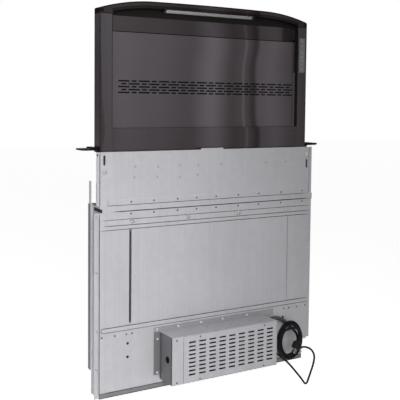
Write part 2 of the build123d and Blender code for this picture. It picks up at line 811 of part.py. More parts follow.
def tube(points, diameter, name):
    """Round cord along straight runs joined by tangent arcs."""
    radii = route_radii(points)
    start = Vector(*points[0])
    first_run = Vector(*points[1]) - start
    with BuildPart() as cord:
        with BuildLine() as path:
            FilletPolyline(*points, radius=radii)
        with BuildSketch(Plane(origin=start, z_dir=first_run)):
            Circle(diameter / 2)
        sweep(path=path.line)
    length = path.wires()[0].length
    expected = math.pi * diameter ** 2 / 4 * length
    print(name, "length", round(length, 1), "radii", [round(r, 1) for r in radii])
    print(name, "volume over section times length", round(cord.part.volume / expected, 4))
    return cord


# Mains cord: out of the box's right side, a hand-wound coil, and its plug
cord_diameter = 7.0
boot_length = 27.0
boot_base = 6.5
boot_tip = 4.6
with BuildPart() as mains_boot:
    with BuildSketch(Plane.YZ.offset(box_right)):
        with Locations((mains_y, mains_z)):
            Circle(boot_base)
    with BuildSketch(Plane.YZ.offset(box_right + boot_length)):
        with Locations((mains_y, mains_z)):
            Circle(boot_tip)
    loft()
    with BuildSketch(Plane.YZ.offset(box_right - box_wall - 2)):
        with Locations((mains_y, mains_z)):
            Circle(mains_hole)
    extrude(amount=box_wall + 2)
save(mains_boot, "mains_boot")

coil_radial = 7.6       # step between turns lying side by side
coil_layer = 7.7        # step between the two layers
coil_back = body_front - 18
coil_front_y = coil_back - coil_layer
coil_left = 219.0
coil_right = 302.2
coil_upper = -564.0     # height at which the upper half turns start
coil_lower = -586.0
coil_crossing = 5.0     # extra height of the half turn that changes layer
coil_entry = 10.0       # the lead runs straight down this far before the coil's path starts
left_outer = coil_left
left_inner = coil_left + coil_radial
right_outer = coil_right
right_middle = coil_right - coil_radial
right_inner = coil_right - 2 * coil_radial

mains_points = [
    (box_right + boot_length, mains_y, mains_z),
    (box_right + boot_length + 12, mains_y, mains_z),
    (231.0, -47.0, -508.0),
    (245.0, -47.2, -515.5),
    (257.5, -47.6, -525.5),
    (269.5, -48.4, -536.5),
    (279.0, -50.4, -546.0),
    (285.0, -53.8, -555.5),
    (right_inner, coil_back, -565.5),
    (right_inner, coil_back, coil_upper - coil_entry),
]
mains_lead = tube(mains_points, cord_diameter, "mains_lead")
save(mains_lead, "mains_lead")

# Each stop: the x and y of a vertical run and the height at which its next half turn starts
coil_stops = [
    (right_inner, coil_back, coil_upper - coil_entry, coil_lower),
    (left_inner, coil_back, coil_lower, coil_upper),
    (right_middle, coil_back, coil_upper, coil_lower),
    (left_outer, coil_back, coil_lower, coil_upper + coil_crossing),
    (right_outer, coil_front_y, coil_upper + coil_crossing, coil_lower),
    (left_outer, coil_front_y, coil_lower, coil_upper),
    (right_middle, coil_front_y, coil_upper, coil_lower),
    (left_inner, coil_front_y, coil_lower, coil_upper),
]
coil_end_x = right_inner - 2.6
coil_end_y = coil_front_y - 13.8
with BuildPart() as mains_coil:
    with BuildLine() as coil_path:
        for index, (x, y, start_z, end_z) in enumerate(coil_stops):
            Line((x, y, start_z), (x, y, end_z))
            heading = -1 if end_z < start_z else 1
            if index + 1 < len(coil_stops):
                next_x, next_y = coil_stops[index + 1][:2]
                radius = math.dist((x, y), (next_x, next_y)) / 2
                middle = ((x + next_x) / 2, (y + next_y) / 2, end_z + heading * radius)
                ThreePointArc((x, y, end_z), middle, (next_x, next_y, end_z))
        radius = math.dist((x, y), (coil_end_x, coil_end_y)) / 2
        centre = Vector((x + coil_end_x) / 2, (y + coil_end_y) / 2, end_z)
        outward = Vector(x, y, end_z) - centre
        upward = Vector(0, 0, radius)
        last_middle = centre + outward * math.cos(math.pi / 4) + upward * math.sin(math.pi / 4)
        coil_end = centre + upward
        ThreePointArc((x, y, end_z), last_middle, coil_end)
    with BuildSketch(Plane(origin=coil_path.line @ 0, z_dir=(0, 0, -1))):
        Circle(cord_diameter / 2)
    sweep(path=coil_path.line)
save(mains_coil, "mains_coil")


def least_gap(path, diameter, step):
    """Smallest space between stretches of a cord, measured on points along it."""
    count = int(path.length / step)
    spots = [path @ (index / count) for index in range(count + 1)]
    skip = int(2.5 * diameter / step)
    nearest = min(
        (spots[i] - spots[j]).length
        for i in range(0, count + 1, 2)
        for j in range(i + skip, count + 1)
    )
    return nearest - diameter


coil_wire = coil_path.wires()[0]
coil_length = coil_wire.length
coil_expected = math.pi * cord_diameter ** 2 / 4 * coil_length
coil_gap = least_gap(coil_wire, cord_diameter, 3.0)
print("mains_coil length", round(coil_length, 1), "least gap", round(coil_gap, 2))
print("mains_coil volume over section times length", round(mains_coil.part.volume / coil_expected, 4))

tail_points = [
    tuple(coil_end),
    (coil_end.X + 15.0, coil_end.Y - 3.58, coil_end.Z),
    (coil_end.X + 25.5, coil_end.Y - 8.0, coil_end.Z - 9.0),
    (coil_end.X + 28.0, coil_end.Y - 11.0, coil_end.Z - 22.5),
    (coil_end.X + 21.5, coil_end.Y - 12.0, coil_end.Z - 33.7),
]
mains_tail = tube(tail_points, cord_diameter, "mains_tail")
save(mains_tail, "mains_tail")

# Plug with two blades and an earth pin
plug_start = Vector(*tail_points[-1])
plug_axis = (plug_start - Vector(*tail_points[-2])).normalized()
plug_plane = Plane(origin=plug_start, x_dir=(0.86, -0.5, 0), z_dir=plug_axis)
plug_neck = 8.0
plug_body = 21.0
blade_length = 15.0
with BuildPart() as mains_plug:
    with BuildSketch(plug_plane):
        Circle(4.8)
    with BuildSketch(plug_plane.offset(plug_neck)):
        RectangleRounded(21, 15, 5)
    loft()
    with BuildSketch(plug_plane.offset(plug_neck)):
        RectangleRounded(21, 15, 5)
    with BuildSketch(plug_plane.offset(plug_neck + plug_body)):
        RectangleRounded(25, 20, 5)
    loft()
    with BuildSketch(plug_plane.offset(plug_neck + plug_body)):
        with Locations((-6.3, -3), (6.3, -3)):
            Rectangle(1.5, 6.3)
        with Locations((0, 5.5)):
            Circle(2.3)
    extrude(amount=blade_length)
save(mains_plug, "mains_plug")

# Link lead: from the corner wall's upper gland, down and back up to the control box
link_diameter = 6.0
gland_reach = 10.0
gland_nut = 4.0
with BuildPart() as link_glands:
    with BuildSketch(Plane.YZ.offset(notch_side)):
        with Locations((gland_y, gland_heights[0]), (gland_y, gland_heights[1])):
            RegularPolygon(5.6, 6)
    extrude(amount=gland_nut)
    with BuildSketch(Plane.YZ.offset(notch_side + gland_nut)):
        with Locations((gland_y, gland_heights[0])):
            Circle(4.6)
    extrude(amount=gland_reach - gland_nut)
    with BuildSketch(Plane.YZ.offset(notch_side - sheet - 1)):
        with Locations((gland_y, gland_heights[0]), (gland_y, gland_heights[1])):
            Circle(gland_hole)
    extrude(amount=sheet + 1)
    with BuildSketch(Plane.YZ.offset(box_right)):
        with Locations((link_y, link_z)):
            RegularPolygon(7, 6)
    extrude(amount=gland_nut)
    with BuildSketch(Plane.YZ.offset(box_right + gland_nut)):
        with Locations((link_y, link_z)):
            Circle(4.8)
    extrude(amount=gland_reach - gland_nut)
    with BuildSketch(Plane.YZ.offset(box_right - box_wall - 2)):
        with Locations((link_y, link_z)):
            Circle(mains_hole)
    extrude(amount=box_wall + 2)
save(link_glands, "link_glands")

link_points = [
    (notch_side + gland_reach, gland_y, gland_heights[0]),
    (notch_side + gland_reach + 9, gland_y, gland_heights[0]),
    (355.0, -31.0, -620.0),
    (366.5, -32.5, -627.0),
    (375.5, -34.0, -638.5),
    (379.0, -35.5, -652.5),
    (372.5, -37.5, -674.0),
    (361.0, -39.0, -697.0),
    (352.5, -40.0, -714.0),
    (346.5, -40.8, -726.0),
    (338.0, -41.6, -727.0),
    (330.0, -42.4, -716.5),
    (317.0, -43.6, -701.0),
    (296.0, -45.2, -678.0),
    (275.5, -46.6, -656.0),
    (254.0, -48.0, -635.5),
    (235.0, -48.8, -620.0),
    (217.0, -49.1, -609.5),
    (201.0, link_y, link_z),
    (box_right + gland_reach, link_y, link_z),
]
link_lead = tube(link_points, link_diameter, "link_lead")
save(link_lead, "link_lead")
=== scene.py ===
import math

import bmesh
import bpy
import numpy as np
from mathutils import Matrix, Vector


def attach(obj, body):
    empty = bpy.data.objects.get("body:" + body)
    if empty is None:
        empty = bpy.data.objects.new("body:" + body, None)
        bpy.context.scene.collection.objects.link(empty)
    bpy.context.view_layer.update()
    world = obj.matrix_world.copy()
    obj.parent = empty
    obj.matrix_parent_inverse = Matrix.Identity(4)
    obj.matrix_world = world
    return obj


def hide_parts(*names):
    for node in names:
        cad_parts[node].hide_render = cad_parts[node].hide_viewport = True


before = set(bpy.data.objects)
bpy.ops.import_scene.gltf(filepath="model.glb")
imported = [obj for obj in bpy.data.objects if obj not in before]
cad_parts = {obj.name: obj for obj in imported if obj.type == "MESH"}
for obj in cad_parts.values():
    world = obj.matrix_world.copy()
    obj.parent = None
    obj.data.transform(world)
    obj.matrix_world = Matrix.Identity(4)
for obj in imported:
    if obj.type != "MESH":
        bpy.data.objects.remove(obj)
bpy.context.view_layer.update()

# ------------------------------------------------------------------ studio
# A pale seamless floor under the hanging vent, a pale room and a camera at the
# height of the riser, a little to the left. The room is white where it is seen,
# and what the sheets mirror of it is lightest straight ahead and dim at the left.
floor_z, floor_reach = -0.86, 14.0


def shader_of(material):
    """The material's main shader."""
    return material.node_tree.nodes["Principled BSDF"]


def new_material(name):
    """Material with a node tree, ready for its inputs."""
    made = bpy.data.materials.new(name)
    made.use_nodes = True
    return made


def placed(name, data):
    """New object in the scene that shows data."""
    thing = bpy.data.objects.new(name, data)
    scene.collection.objects.link(thing)
    return thing


def fill(node, inputs):
    """Sets a node's inputs to numbers, or links them to the outputs of other nodes."""
    for socket, value in inputs.items():
        if isinstance(value, bpy.types.NodeSocket):
            node.id_data.links.new(value, node.inputs[socket])
        else:
            node.inputs[socket].default_value = value


def wired(tree, kind, result, inputs, **settings):
    """The output called result of a new node with the given inputs and settings."""
    node = tree.nodes.new("ShaderNode" + kind)
    for setting, value in settings.items():
        setattr(node, setting, value)
    fill(node, inputs)
    return node.outputs[result]


def between(tree, value, low, high, start=0.0, end=1.0):
    """Value carried from start..end to low..high, and level outside."""
    return wired(tree, "MapRange", "Result", {
        "Value": value, "From Min": start, "From Max": end, "To Min": low, "To Max": high})


def ramp_in(tree, value, places, shades, interpolation="LINEAR"):
    """Colour ramp through the shades at their places, read at value."""
    ramp = tree.nodes.new("ShaderNodeValToRGB")
    stops = ramp.color_ramp.elements
    ramp.color_ramp.interpolation = interpolation
    while len(stops) < len(places):
        stops.new(0.5)
    for stop, place, shade in zip(stops, places, shades):
        stop.position = place
        stop.color = (*shade, 1.0)
    fill(ramp, {"Fac": value})
    return ramp.outputs["Color"]


def by_ray(tree, camera, mirror, other, shade=None):
    """Value for camera rays, for mirror and glass rays, and for all others; shade multiplies the last two."""
    seen, glossy, through = [
        wired(tree, "LightPath", f"Is {ray} Ray", {}) for ray in ("Camera", "Glossy", "Transmission")]
    either = wired(tree, "Math", 0, {0: glossy, 1: through}, operation="MAXIMUM")
    value = between(tree, either, other, mirror)
    if shade:
        value = wired(tree, "Math", 0, {0: value, 1: shade}, operation="MULTIPLY")
    return wired(tree, "Mix", "Result", {"Factor": seen, "A": value, "B": camera})


scene = bpy.context.scene
scene.view_settings.view_transform = "Standard"
white = (1.0, 1.0, 1.0, 1.0)
world = bpy.data.worlds.new("pale_room")
world.use_nodes = True
scene.world = world

# Level of the room by how far to the right a ray points
tree = world.node_tree
heading = wired(tree, "TexCoord", "Generated", {})
rightward = between(tree, wired(tree, "SeparateXYZ", "X", {"Vector": heading}), 0.0, 1.0, start=-1.0)
room_places = (0.0, 0.36, 0.55, 0.66, 0.84, 1.0)
room_levels = (0.22, 0.26, 0.90, 1.0, 0.62, 0.50)
room_shade = ramp_in(tree, rightward, room_places, [(level,) * 3 for level in room_levels])
fill(tree.nodes["Background"], {"Color": white, "Strength": by_ray(tree, 1.0, 1.0, 0.19, room_shade)})

floor_mesh = bpy.data.meshes.new("studio_floor")
floor_corners = [(x * floor_reach, y * floor_reach, floor_z) for x, y in ((-1, -1), (1, -1), (1, 1), (-1, 1))]
floor_mesh.from_pydata(floor_corners, [], [(0, 1, 2, 3)])
studio_floor = placed("studio_floor", floor_mesh)
floor_paint = new_material("floor_paint")
fill(shader_of(floor_paint), {
    "Base Color": (0.86, 0.86, 0.86, 1.0), "Roughness": 0.9, "Emission Color": white,
    "Emission Strength": by_ray(floor_paint.node_tree, 0.85, 0.50, 0.0)})
floor_mesh.materials.append(floor_paint)

# The camera's columns are its right, its up, its back and its place
camera_data = bpy.data.cameras.new("camera")
camera_data.lens = 69.02
camera_data.sensor_width = 36.0
camera_data.shift_y = -0.13
camera = placed("camera", camera_data)
camera.matrix_world = Matrix((
    (0.85497728, -0.51857314, 0.00978479, 0.0), (0.02216777, 0.05538332, 0.99821905, 0.0),
    (-0.5181915, -0.85323771, 0.05884709, 0.0), (-1.12914, -1.82843, 0.12385, 1.0))).transposed()
scene.camera = camera


def panel_light(name, place, target, size, power, spread=180.0):
    """Soft rectangular lamp at place that faces target, its beam narrowed to spread degrees."""
    lamp = bpy.data.lights.new(name, "AREA")
    lamp.shape = "RECTANGLE"
    lamp.size, lamp.size_y = size
    lamp.energy = power
    lamp.spread = math.radians(spread)
    holder = placed(name, lamp)
    holder.location = place
    holder.rotation_euler = (Vector(target) - Vector(place)).to_track_quat("-Z", "Y").to_euler()
    holder.visible_camera = holder.visible_glossy = False


panel_light("key", (-0.75, -1.5, 0.25), (-0.42, 0.0, -0.50), (0.7, 1.4), 8.0, spread=70.0)
panel_light("top", (0.2, -0.3, 2.2), (0.0, 0.0, 0.0), (1.6, 1.2), 4.0)

# ------------------------------------------------------------------ mains cord
# Round rubber lead, 7 mm thick, that leaves the control box at its upper right
# corner, is wound by hand into four loose turns, and ends at its moulded plug.
# A ribbed strain relief and a wider jacket cover its first stretch.
cord_diameter = 0.007
cord_exit = (0.1778, -0.0470, -0.5060)
lead_points = [
    cord_exit, (0.1910, -0.0470, -0.5060), (0.2048, -0.0470, -0.5060), (0.2168, -0.0470, -0.5060),
    (0.2310, -0.0470, -0.5080), (0.2450, -0.0472, -0.5155), (0.2575, -0.0476, -0.5255),
    (0.2695, -0.0484, -0.5365), (0.2800, -0.0500, -0.5460), (0.2880, -0.0530, -0.5555),
    (0.2935, -0.0565, -0.5655),
]
tail_points = [
    (0.2555, -0.0716, -0.5343), (0.2705, -0.0752, -0.5343), (0.2810, -0.0796, -0.5433),
    (0.2835, -0.0826, -0.5568), (0.2770, -0.0836, -0.5680),
]

# Half width, extra half height and depth of the coil at each half turn, beginning at the right
coil_centre = (0.2606, -0.5750)
coil_half_turns = np.arange(8)
coil_half_width = np.array([34.4, 34.0, 41.8, 41.2, 42.0, 41.6, 34.4, 34.0]) / 1000
coil_extra = np.array([11.0, 11.0, 11.0, 11.4, 11.4, 11.0, 11.0, 11.0]) / 1000
coil_depth = np.array([-56.8, -56.6, -56.8, -56.6, -64.9, -65.1, -64.9, -65.3]) / 1000
layer_hump = 0.004      # the half turn that changes layer passes this much higher
coil_turns, steps_a_turn = 3.7, 12
outside = 1.035         # the spline runs this much inside its control points


def hand_wound(turn_steps):
    """Ellipse x = cx + a cos t, z = cz - b sin t, whose a, b and depth y drift from half turn to half turn."""
    t = (turn_steps + 0.5) * 2 * math.pi / steps_a_turn
    half_turn = t / math.pi
    a = np.interp(half_turn, coil_half_turns, coil_half_width) * outside
    b = a + np.interp(half_turn, coil_half_turns, coil_extra)
    b = b + np.interp(half_turn, [3.0, 3.5, 4.0], [0.0, layer_hump, 0.0])
    y = np.interp(half_turn, coil_half_turns, coil_depth)
    return np.stack([coil_centre[0] + a * np.cos(t), y, coil_centre[1] - b * np.sin(t)], axis=1)


def cord_line(name, points, radius, material):
    """Round cord on one smooth spline of order 3 through the middle of its control points' runs."""
    data = bpy.data.curves.new(name, "CURVE")
    data.dimensions = "3D"
    spline = data.splines.new("NURBS")
    spline.points.add(len(points) - 1)
    spline.points.foreach_set("co", np.c_[points, np.ones(len(points))].ravel())
    spline.order_u = 3
    spline.use_endpoint_u = True
    spline.resolution_u = 6
    data.bevel_depth = radius
    data.bevel_resolution = 4
    data.use_fill_caps = True
    data.materials.append(material)
    return placed(name, data)


def line_of(cord):
    """Points along the middle of a cord, read from its own spline."""
    bare = bpy.data.objects.new("bare_line", cord.data.copy())
    bare.data.bevel_depth = 0.0
    mesh = bpy.data.meshes.new_from_object(bare)
    line = np.zeros(len(mesh.vertices) * 3)
    mesh.vertices.foreach_get("co", line)
    spent = bare.data
    bpy.data.meshes.remove(mesh)
    bpy.data.objects.remove(bare)
    bpy.data.curves.remove(spent)
    return line.reshape(-1, 3)


def triple(value):
    """Three numbers from one, or from three."""
    return np.broadcast_to(value, 3).astype(float).tolist()


def noise_in(tree, scale, detail):
    """Soft noise on object coordinates, drawn out by one scale or by three."""
    where = wired(tree, "TexCoord", "Object", {})
    stretched = wired(tree, "Mapping", "Vector", {"Vector": where, "Scale": triple(scale)})
    return wired(tree, "TexNoise", "Fac", {"Vector": stretched, "Scale": 1.0, "Detail": detail})


def finish_of(name, shades, metallic, roughness, grain, mottle, bump=0.0, bump_grain=None, gloss=0.5):
    """Procedural finish on object coordinates.

    Colour runs along shades by noise of the given grain, roughness runs between its two values by the
    same noise, mottle blends a slower cloud into the colour, and bump is the height of a fine noise in
    metres. Gloss is how strongly a plain surface mirrors, from 0 for none to 0.5 for clean plastic.
    """
    made = new_material(name)
    tree = made.node_tree
    fine = noise_in(tree, grain, 5.0)
    mixed = wired(tree, "Mix", "Result", {"Factor": 0.5, "A": fine, "B": noise_in(tree, mottle, 3.0)})
    places = np.linspace(0.36, 0.64, len(shades))
    fill(shader_of(made), {
        "Metallic": metallic, "Specular IOR Level": gloss,
        "Base Color": ramp_in(tree, mixed, places, [triple(shade) for shade in shades]),
        "Roughness": between(tree, fine, *roughness, 0.35, 0.65)})
    if bump:
        height = noise_in(tree, bump_grain or grain, 4.0)
        relief = wired(tree, "Bump", "Normal", {"Height": height, "Distance": bump, "Strength": 0.6})
        fill(shader_of(made), {"Normal": relief})
    return made


coil_points = hand_wound(np.arange(int(coil_turns * steps_a_turn)))
cord_rubber = finish_of("cord_rubber", [0.004, 0.008, (0.014, 0.014, 0.013)], 0.0, (0.50, 0.66), 420, 60,
                        bump=0.00006, bump_grain=1500, gloss=0.16)
route = np.array(lead_points + coil_points.tolist() + tail_points)
mains_cord = cord_line("mains_cord", route, cord_diameter / 2, cord_rubber)
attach(mains_cord, "housing")
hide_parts("mains_lead", "mains_coil", "mains_tail")


def grid_faces(rows, columns, wrap_rows=False, wrap_columns=False):
    """Four-sided faces between neighbours on a grid of rows by columns points."""
    i = np.arange(rows if wrap_rows else rows - 1)[:, None]
    j = np.arange(columns if wrap_columns else columns - 1)[None, :]
    below, beside = (i + 1) % rows, (j + 1) % columns
    corners = (i * columns + j, below * columns + j, below * columns + beside, i * columns + beside)
    return np.stack([np.broadcast_to(c, (i.size, j.size)) for c in corners], axis=-1).reshape(-1, 4)


def tube_faces(rows, columns):
    """Faces of a closed tube of rings: its wall, and one flat face at each end."""
    wall = grid_faces(rows, columns, wrap_columns=True).tolist()
    return wall + [range(columns), range((rows - 1) * columns, rows * columns)]


def piece_from(name, parts, material, body="housing"):
    """Mesh piece from parts, each of points in metres and faces of point numbers, merged and turned outwards."""
    points, faces, count = [], [], 0
    for some_points, some_faces in parts:
        points.append(np.asarray(some_points).reshape(-1, 3))
        faces += [[count + int(k) for k in face] for face in some_faces]
        count += len(points[-1])
    mesh = bpy.data.meshes.new(name)
    mesh.from_pydata(np.concatenate(points).tolist(), [], faces)
    shape = bmesh.new()
    shape.from_mesh(mesh)
    bmesh.ops.remove_doubles(shape, verts=shape.verts, dist=2e-6)
    bmesh.ops.dissolve_degenerate(shape, edges=shape.edges, dist=1e-7)
    bmesh.ops.recalc_face_normals(shape, faces=shape.faces)
    shape.to_mesh(mesh)
    shape.free()
    mesh.shade_smooth()
    mesh.set_sharp_from_angle(angle=math.radians(38))
    mesh.materials.append(material)
    piece = placed(name, mesh)
    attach(piece, body)
    return piece


def full_turn(count):
    """Angles at even steps round a circle."""
    return np.linspace(0, 2 * math.pi, count, endpoint=False)


def tube_along(line, radii, around):
    """Closed tube: circles of the given radii square to the line, with a turning frame carried along it."""
    heading = np.gradient(line, axis=0)
    heading /= np.linalg.norm(heading, axis=1, keepdims=True)
    side = np.cross(heading, np.array([0.0, 1.0, 0.0]))
    side /= np.linalg.norm(side, axis=1, keepdims=True)
    lift = np.cross(side, heading)
    turn = full_turn(around)
    circle = np.cos(turn)[None, :, None] * side[:, None] + np.sin(turn)[None, :, None] * lift[:, None]
    return line[:, None] + circle * radii[:, None, None], tube_faces(len(line), around)


def lengths_along(line):
    """Distance of each point from the line's beginning, measured along it."""
    return np.r_[0, np.cumsum(np.linalg.norm(np.diff(line, axis=0), axis=1))]


def points_along(line, at):
    """Points of a line at the given distances from its beginning."""
    along = lengths_along(line)
    return np.stack([np.interp(at, along, line[:, k]) for k in range(3)], axis=1)


mains_line = line_of(mains_cord)

# Strain relief: a ring of ribs on a taper, closed on the cord at both ends
relief_at = np.linspace(0.0, 1.0, 61)
relief_radius = 0.0063 - 0.0013 * relief_at + 0.0005 * (np.sin(relief_at * 9 * 2 * math.pi) > 0.1)
relief_radius[:2], relief_radius[-1] = 0.0074, 0.0034
relief_line = points_along(mains_line, np.linspace(0.0002, 0.030, 61))
black_tones = [(0.010, 0.010, 0.011), (0.022, 0.022, 0.023)]
relief_rubber = finish_of("relief_rubber", black_tones, 0.0, (0.50, 0.66), 300, 40,
                          bump=0.00005, bump_grain=1400, gloss=0.2)
mains_relief = piece_from("mains_relief", [tube_along(relief_line, relief_radius, 32)], relief_rubber)
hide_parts("mains_boot")

# Jacket: a soft grey sleeve with turned ends over the stretch between the relief and the coil
jacket_at = np.linspace(0.0, 1.0, 41)
jacket_end = np.minimum(1.0, np.minimum(jacket_at, 1 - jacket_at) * 26)
jacket_radius = 0.0036 + 0.0022 * np.sqrt(jacket_end) + 0.00015 * np.sin(jacket_at * 40)
jacket_line = points_along(mains_line, np.linspace(0.027, 0.100, 41))
jacket_braid = finish_of("jacket_braid", [(0.040, 0.040, 0.042), (0.075, 0.075, 0.078)], 0.0, (0.5, 0.7), 900, 90,
                         bump=0.00012, bump_grain=1800)
cord_jacket = piece_from("cord_jacket", [tube_along(jacket_line, jacket_radius, 32)], jacket_braid)

# ------------------------------------------------------------------ plug
# Moulded rubber plug with a ribbed neck, finger grips and a flat face, and two
# flat nickel-plated blades with a round earth pin pressed into it.
plug_start = Vector(tail_points[-1])
plug_axis = (plug_start - Vector(tail_points[-2])).normalized()
plug_flat = Vector((0.86, -0.5, 0.0))
plug_flat = (plug_flat - plug_axis * plug_flat.dot(plug_axis)).normalized()
plug_deep = plug_axis.cross(plug_flat)
plug_length = 0.029


def plug_point(across, deep, along):
    """Point in the plug's own directions, turned to where it hangs."""
    return (np.array(plug_start) + across[..., None] * np.array(plug_flat)
            + deep[..., None] * np.array(plug_deep) + along[..., None] * np.array(plug_axis))


def ease(t):
    """Smooth step 3t^2 - 2t^3 from 0 to 1, level outside them."""
    t = np.clip(t, 0, 1)
    return t * t * (3 - 2 * t)


def squared(turn, power):
    """Cosine and sine of turn, each raised to a power under its sign, which makes a superellipse of a circle."""
    return [np.sign(wave) * np.abs(wave) ** power for wave in (np.cos(turn), np.sin(turn))]


# Superellipse |u/a|^n + |v/b|^n = 1 whose a, b and n grow along the body
body_at = np.linspace(0.0, 1.0, 57)
swell = ease((body_at - 0.16) / 0.20)
neck_ribs = np.where(body_at < 0.26, 0.0004 * np.sin(body_at * 150), 0.0)
grips = np.where(body_at > 0.42, 0.00045 * np.clip(np.sin((body_at - 0.42) * 58), -1, 0), 0.0)
rim = np.sqrt(np.clip(1 - ((body_at - 0.96) / 0.05) ** 2, 0.0, 1.0))
rim_draw = np.where(body_at > 0.96, 0.92 + 0.08 * rim, 1.0)
plug_a = (0.0048 + 0.0066 * swell + 0.0010 * body_at * swell + neck_ribs + grips) * rim_draw
plug_b = (0.0046 + 0.0040 * swell + 0.0018 * body_at * swell + neck_ribs) * rim_draw
wave_u, wave_v = squared(full_turn(64), (2.0 / (2.0 + 2.2 * swell))[:, None])
plug_rings = plug_point(plug_a[:, None] * wave_u, plug_b[:, None] * wave_v,
                        np.broadcast_to(body_at[:, None] * plug_length, wave_u.shape))
plug_rubber = finish_of("plug_rubber", [0.005, (0.012, 0.012, 0.011)], 0.0, (0.46, 0.60), 300, 45,
                        bump=0.00005, bump_grain=1300, gloss=0.2)
plug_body = piece_from("plug_body", [(plug_rings, tube_faces(*wave_u.shape))], plug_rubber)
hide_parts("mains_plug")


def rounded_bar(half_u, half_v, length, middle):
    """Bar of superellipse section that rounds off over the last tenth of its length."""
    at = np.linspace(0.0, 1.0, 10)
    taper = np.sqrt(np.clip(1 - (np.clip(at - 0.88, 0, 1) / 0.125) ** 2, 0.02, 1.0))[:, None]
    u, v = squared(full_turn(16), 0.4)
    along = np.broadcast_to((plug_length - 0.0004 + at * length)[:, None], (10, 16))
    return plug_point(middle[0] + half_u * taper * u, middle[1] + half_v * taper * v, along), tube_faces(10, 16)


blade_nickel = finish_of(
    "blade_nickel", [(0.46, 0.45, 0.42), (0.60, 0.59, 0.56)], 1.0, (0.18, 0.30), (60, 60, 900), 80)
blades = [rounded_bar(0.00075, 0.00315, 0.0150, (side * 0.0063, -0.003)) for side in (-1, 1)]
blades.append(rounded_bar(0.0022, 0.0022, 0.0150, (0.0, 0.0055)))
plug_blades = piece_from("plug_blades", blades, blade_nickel)

# ------------------------------------------------------------------ link lead
# Thinner round lead from the body's cut-away corner, folded sharply where it
# hangs lowest, back up behind the coil into the control box. Each end goes into
# a black gland: a hexagonal nut with a domed cap.
link_diameter = 0.006
link_points = [
    (0.3325, -0.0300, -0.6160), (0.3415, -0.0300, -0.6160), (0.3550, -0.0310, -0.6200),
    (0.3665, -0.0325, -0.6270), (0.3755, -0.0340, -0.6385), (0.3790, -0.0355, -0.6525),
    (0.3725, -0.0375, -0.6740), (0.3610, -0.0390, -0.6970), (0.3525, -0.0400, -0.7140),
    (0.3465, -0.0408, -0.7260), (0.3380, -0.0416, -0.7270), (0.3300, -0.0424, -0.7165),
    (0.3170, -0.0436, -0.7010), (0.2960, -0.0452, -0.6780), (0.2755, -0.0466, -0.6560),
    (0.2540, -0.0480, -0.6355), (0.2350, -0.0488, -0.6200), (0.2170, -0.0491, -0.6095),
    (0.2010, -0.0490, -0.6060), (0.1878, -0.0490, -0.6060),
]
link_cord = cord_line("link_cord", np.array(link_points), link_diameter / 2, cord_rubber)
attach(link_cord, "housing")
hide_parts("link_lead")


def turned(profile, centre, around=24, axis=(0, -1, 0)):
    """Closed solid of revolution: rows of radius and height about an axis; six columns around make a nut."""
    axis = Vector(axis).normalized()
    side = axis.orthogonal().normalized()
    spin = full_turn(around)[:, None]
    ring = np.cos(spin) * np.array(side) + np.sin(spin) * np.array(axis.cross(side))
    radii, heights = np.array(profile, float).T[..., None, None]
    return np.array(centre) + radii * ring + heights * np.array(axis), tube_faces(len(profile), around)


def gland(centre, hexagon, cap):
    """Nut of six flats with chamfered faces, and a domed cap that narrows to the cord."""
    nut = [(hexagon - 0.0006, 0.0), (hexagon, 0.0005), (hexagon, 0.0036), (hexagon - 0.0007, 0.0042)]
    dome = [(cap, 0.0042), (cap, 0.0072), (cap - 0.0006, 0.0086), (cap - 0.0014, 0.0096), (0.0031, 0.0100)]
    return [turned(nut, centre, 6, (1, 0, 0)), turned(dome, centre, 24, (1, 0, 0))]


nylon_black = finish_of("nylon_black", black_tones, 0.0, (0.34, 0.48), 260, 50, bump=0.00004, bump_grain=1500)
corner_gland, corner_plug, box_gland = (0.3225, -0.030, -0.616), (0.3225, -0.030, -0.628), (0.1778, -0.049, -0.606)
plug_cap = [(0.0040, 0.0040), (0.0040, 0.0062), (0.0030, 0.0072), (0.0004, 0.0075)]
gland_parts = gland(corner_gland, 0.0056, 0.0046) + gland(corner_plug, 0.0056, 0.0046)[:1]
gland_parts += [turned(plug_cap, corner_plug, 24, (1, 0, 0))] + gland(box_gland, 0.0070, 0.0048)
cable_glands = piece_from("cable_glands", gland_parts, nylon_black)
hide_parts("link_glands")

# ------------------------------------------------------------------ galvanised sheets
# The body is folded from 1 mm galvanised steel. The zinc shows faint crystals
# and cloudy patches, and every cut edge is slightly rounded. Each CAD sheet is
# copied, merged and given its edge radius.


def scaled(tree, colour, factor):
    """Colour times factor."""
    return wired(tree, "VectorMath", "Vector", {"Vector": colour, "Scale": factor}, operation="SCALE")


def zinc_finish(name, light, crystal=70.0, metallic=0.42):
    """Galvanised steel: cloudy upright streaks, each crystal cell of them a little lighter or darker."""
    tones = [[light * level * tint for tint in (1.0, 0.99, 1.045)] for level in (0.94, 1.0, 1.05)]
    made = finish_of(name, tones, metallic, (0.38, 0.50), (110, 110, 4), 4,
                     bump=0.00002, bump_grain=(240, 240, 12))
    tree, base = made.node_tree, shader_of(made).inputs["Base Color"]
    where = wired(tree, "TexCoord", "Object", {})
    cells = wired(tree, "TexVoronoi", "Color", {"Vector": where, "Scale": crystal, "Randomness": 1.0})
    level = between(tree, wired(tree, "SeparateColor", "Red", {"Color": cells}), 0.98, 1.02)
    tree.links.new(scaled(tree, base.links[0].from_socket, level), base)
    return made


zinc = zinc_finish("zinc", 0.52)
# Darker copy of the same zinc: painted shade on the rear rails
zinc_rails_painted_shade = zinc_finish("zinc_rails_painted_shade", 0.24)


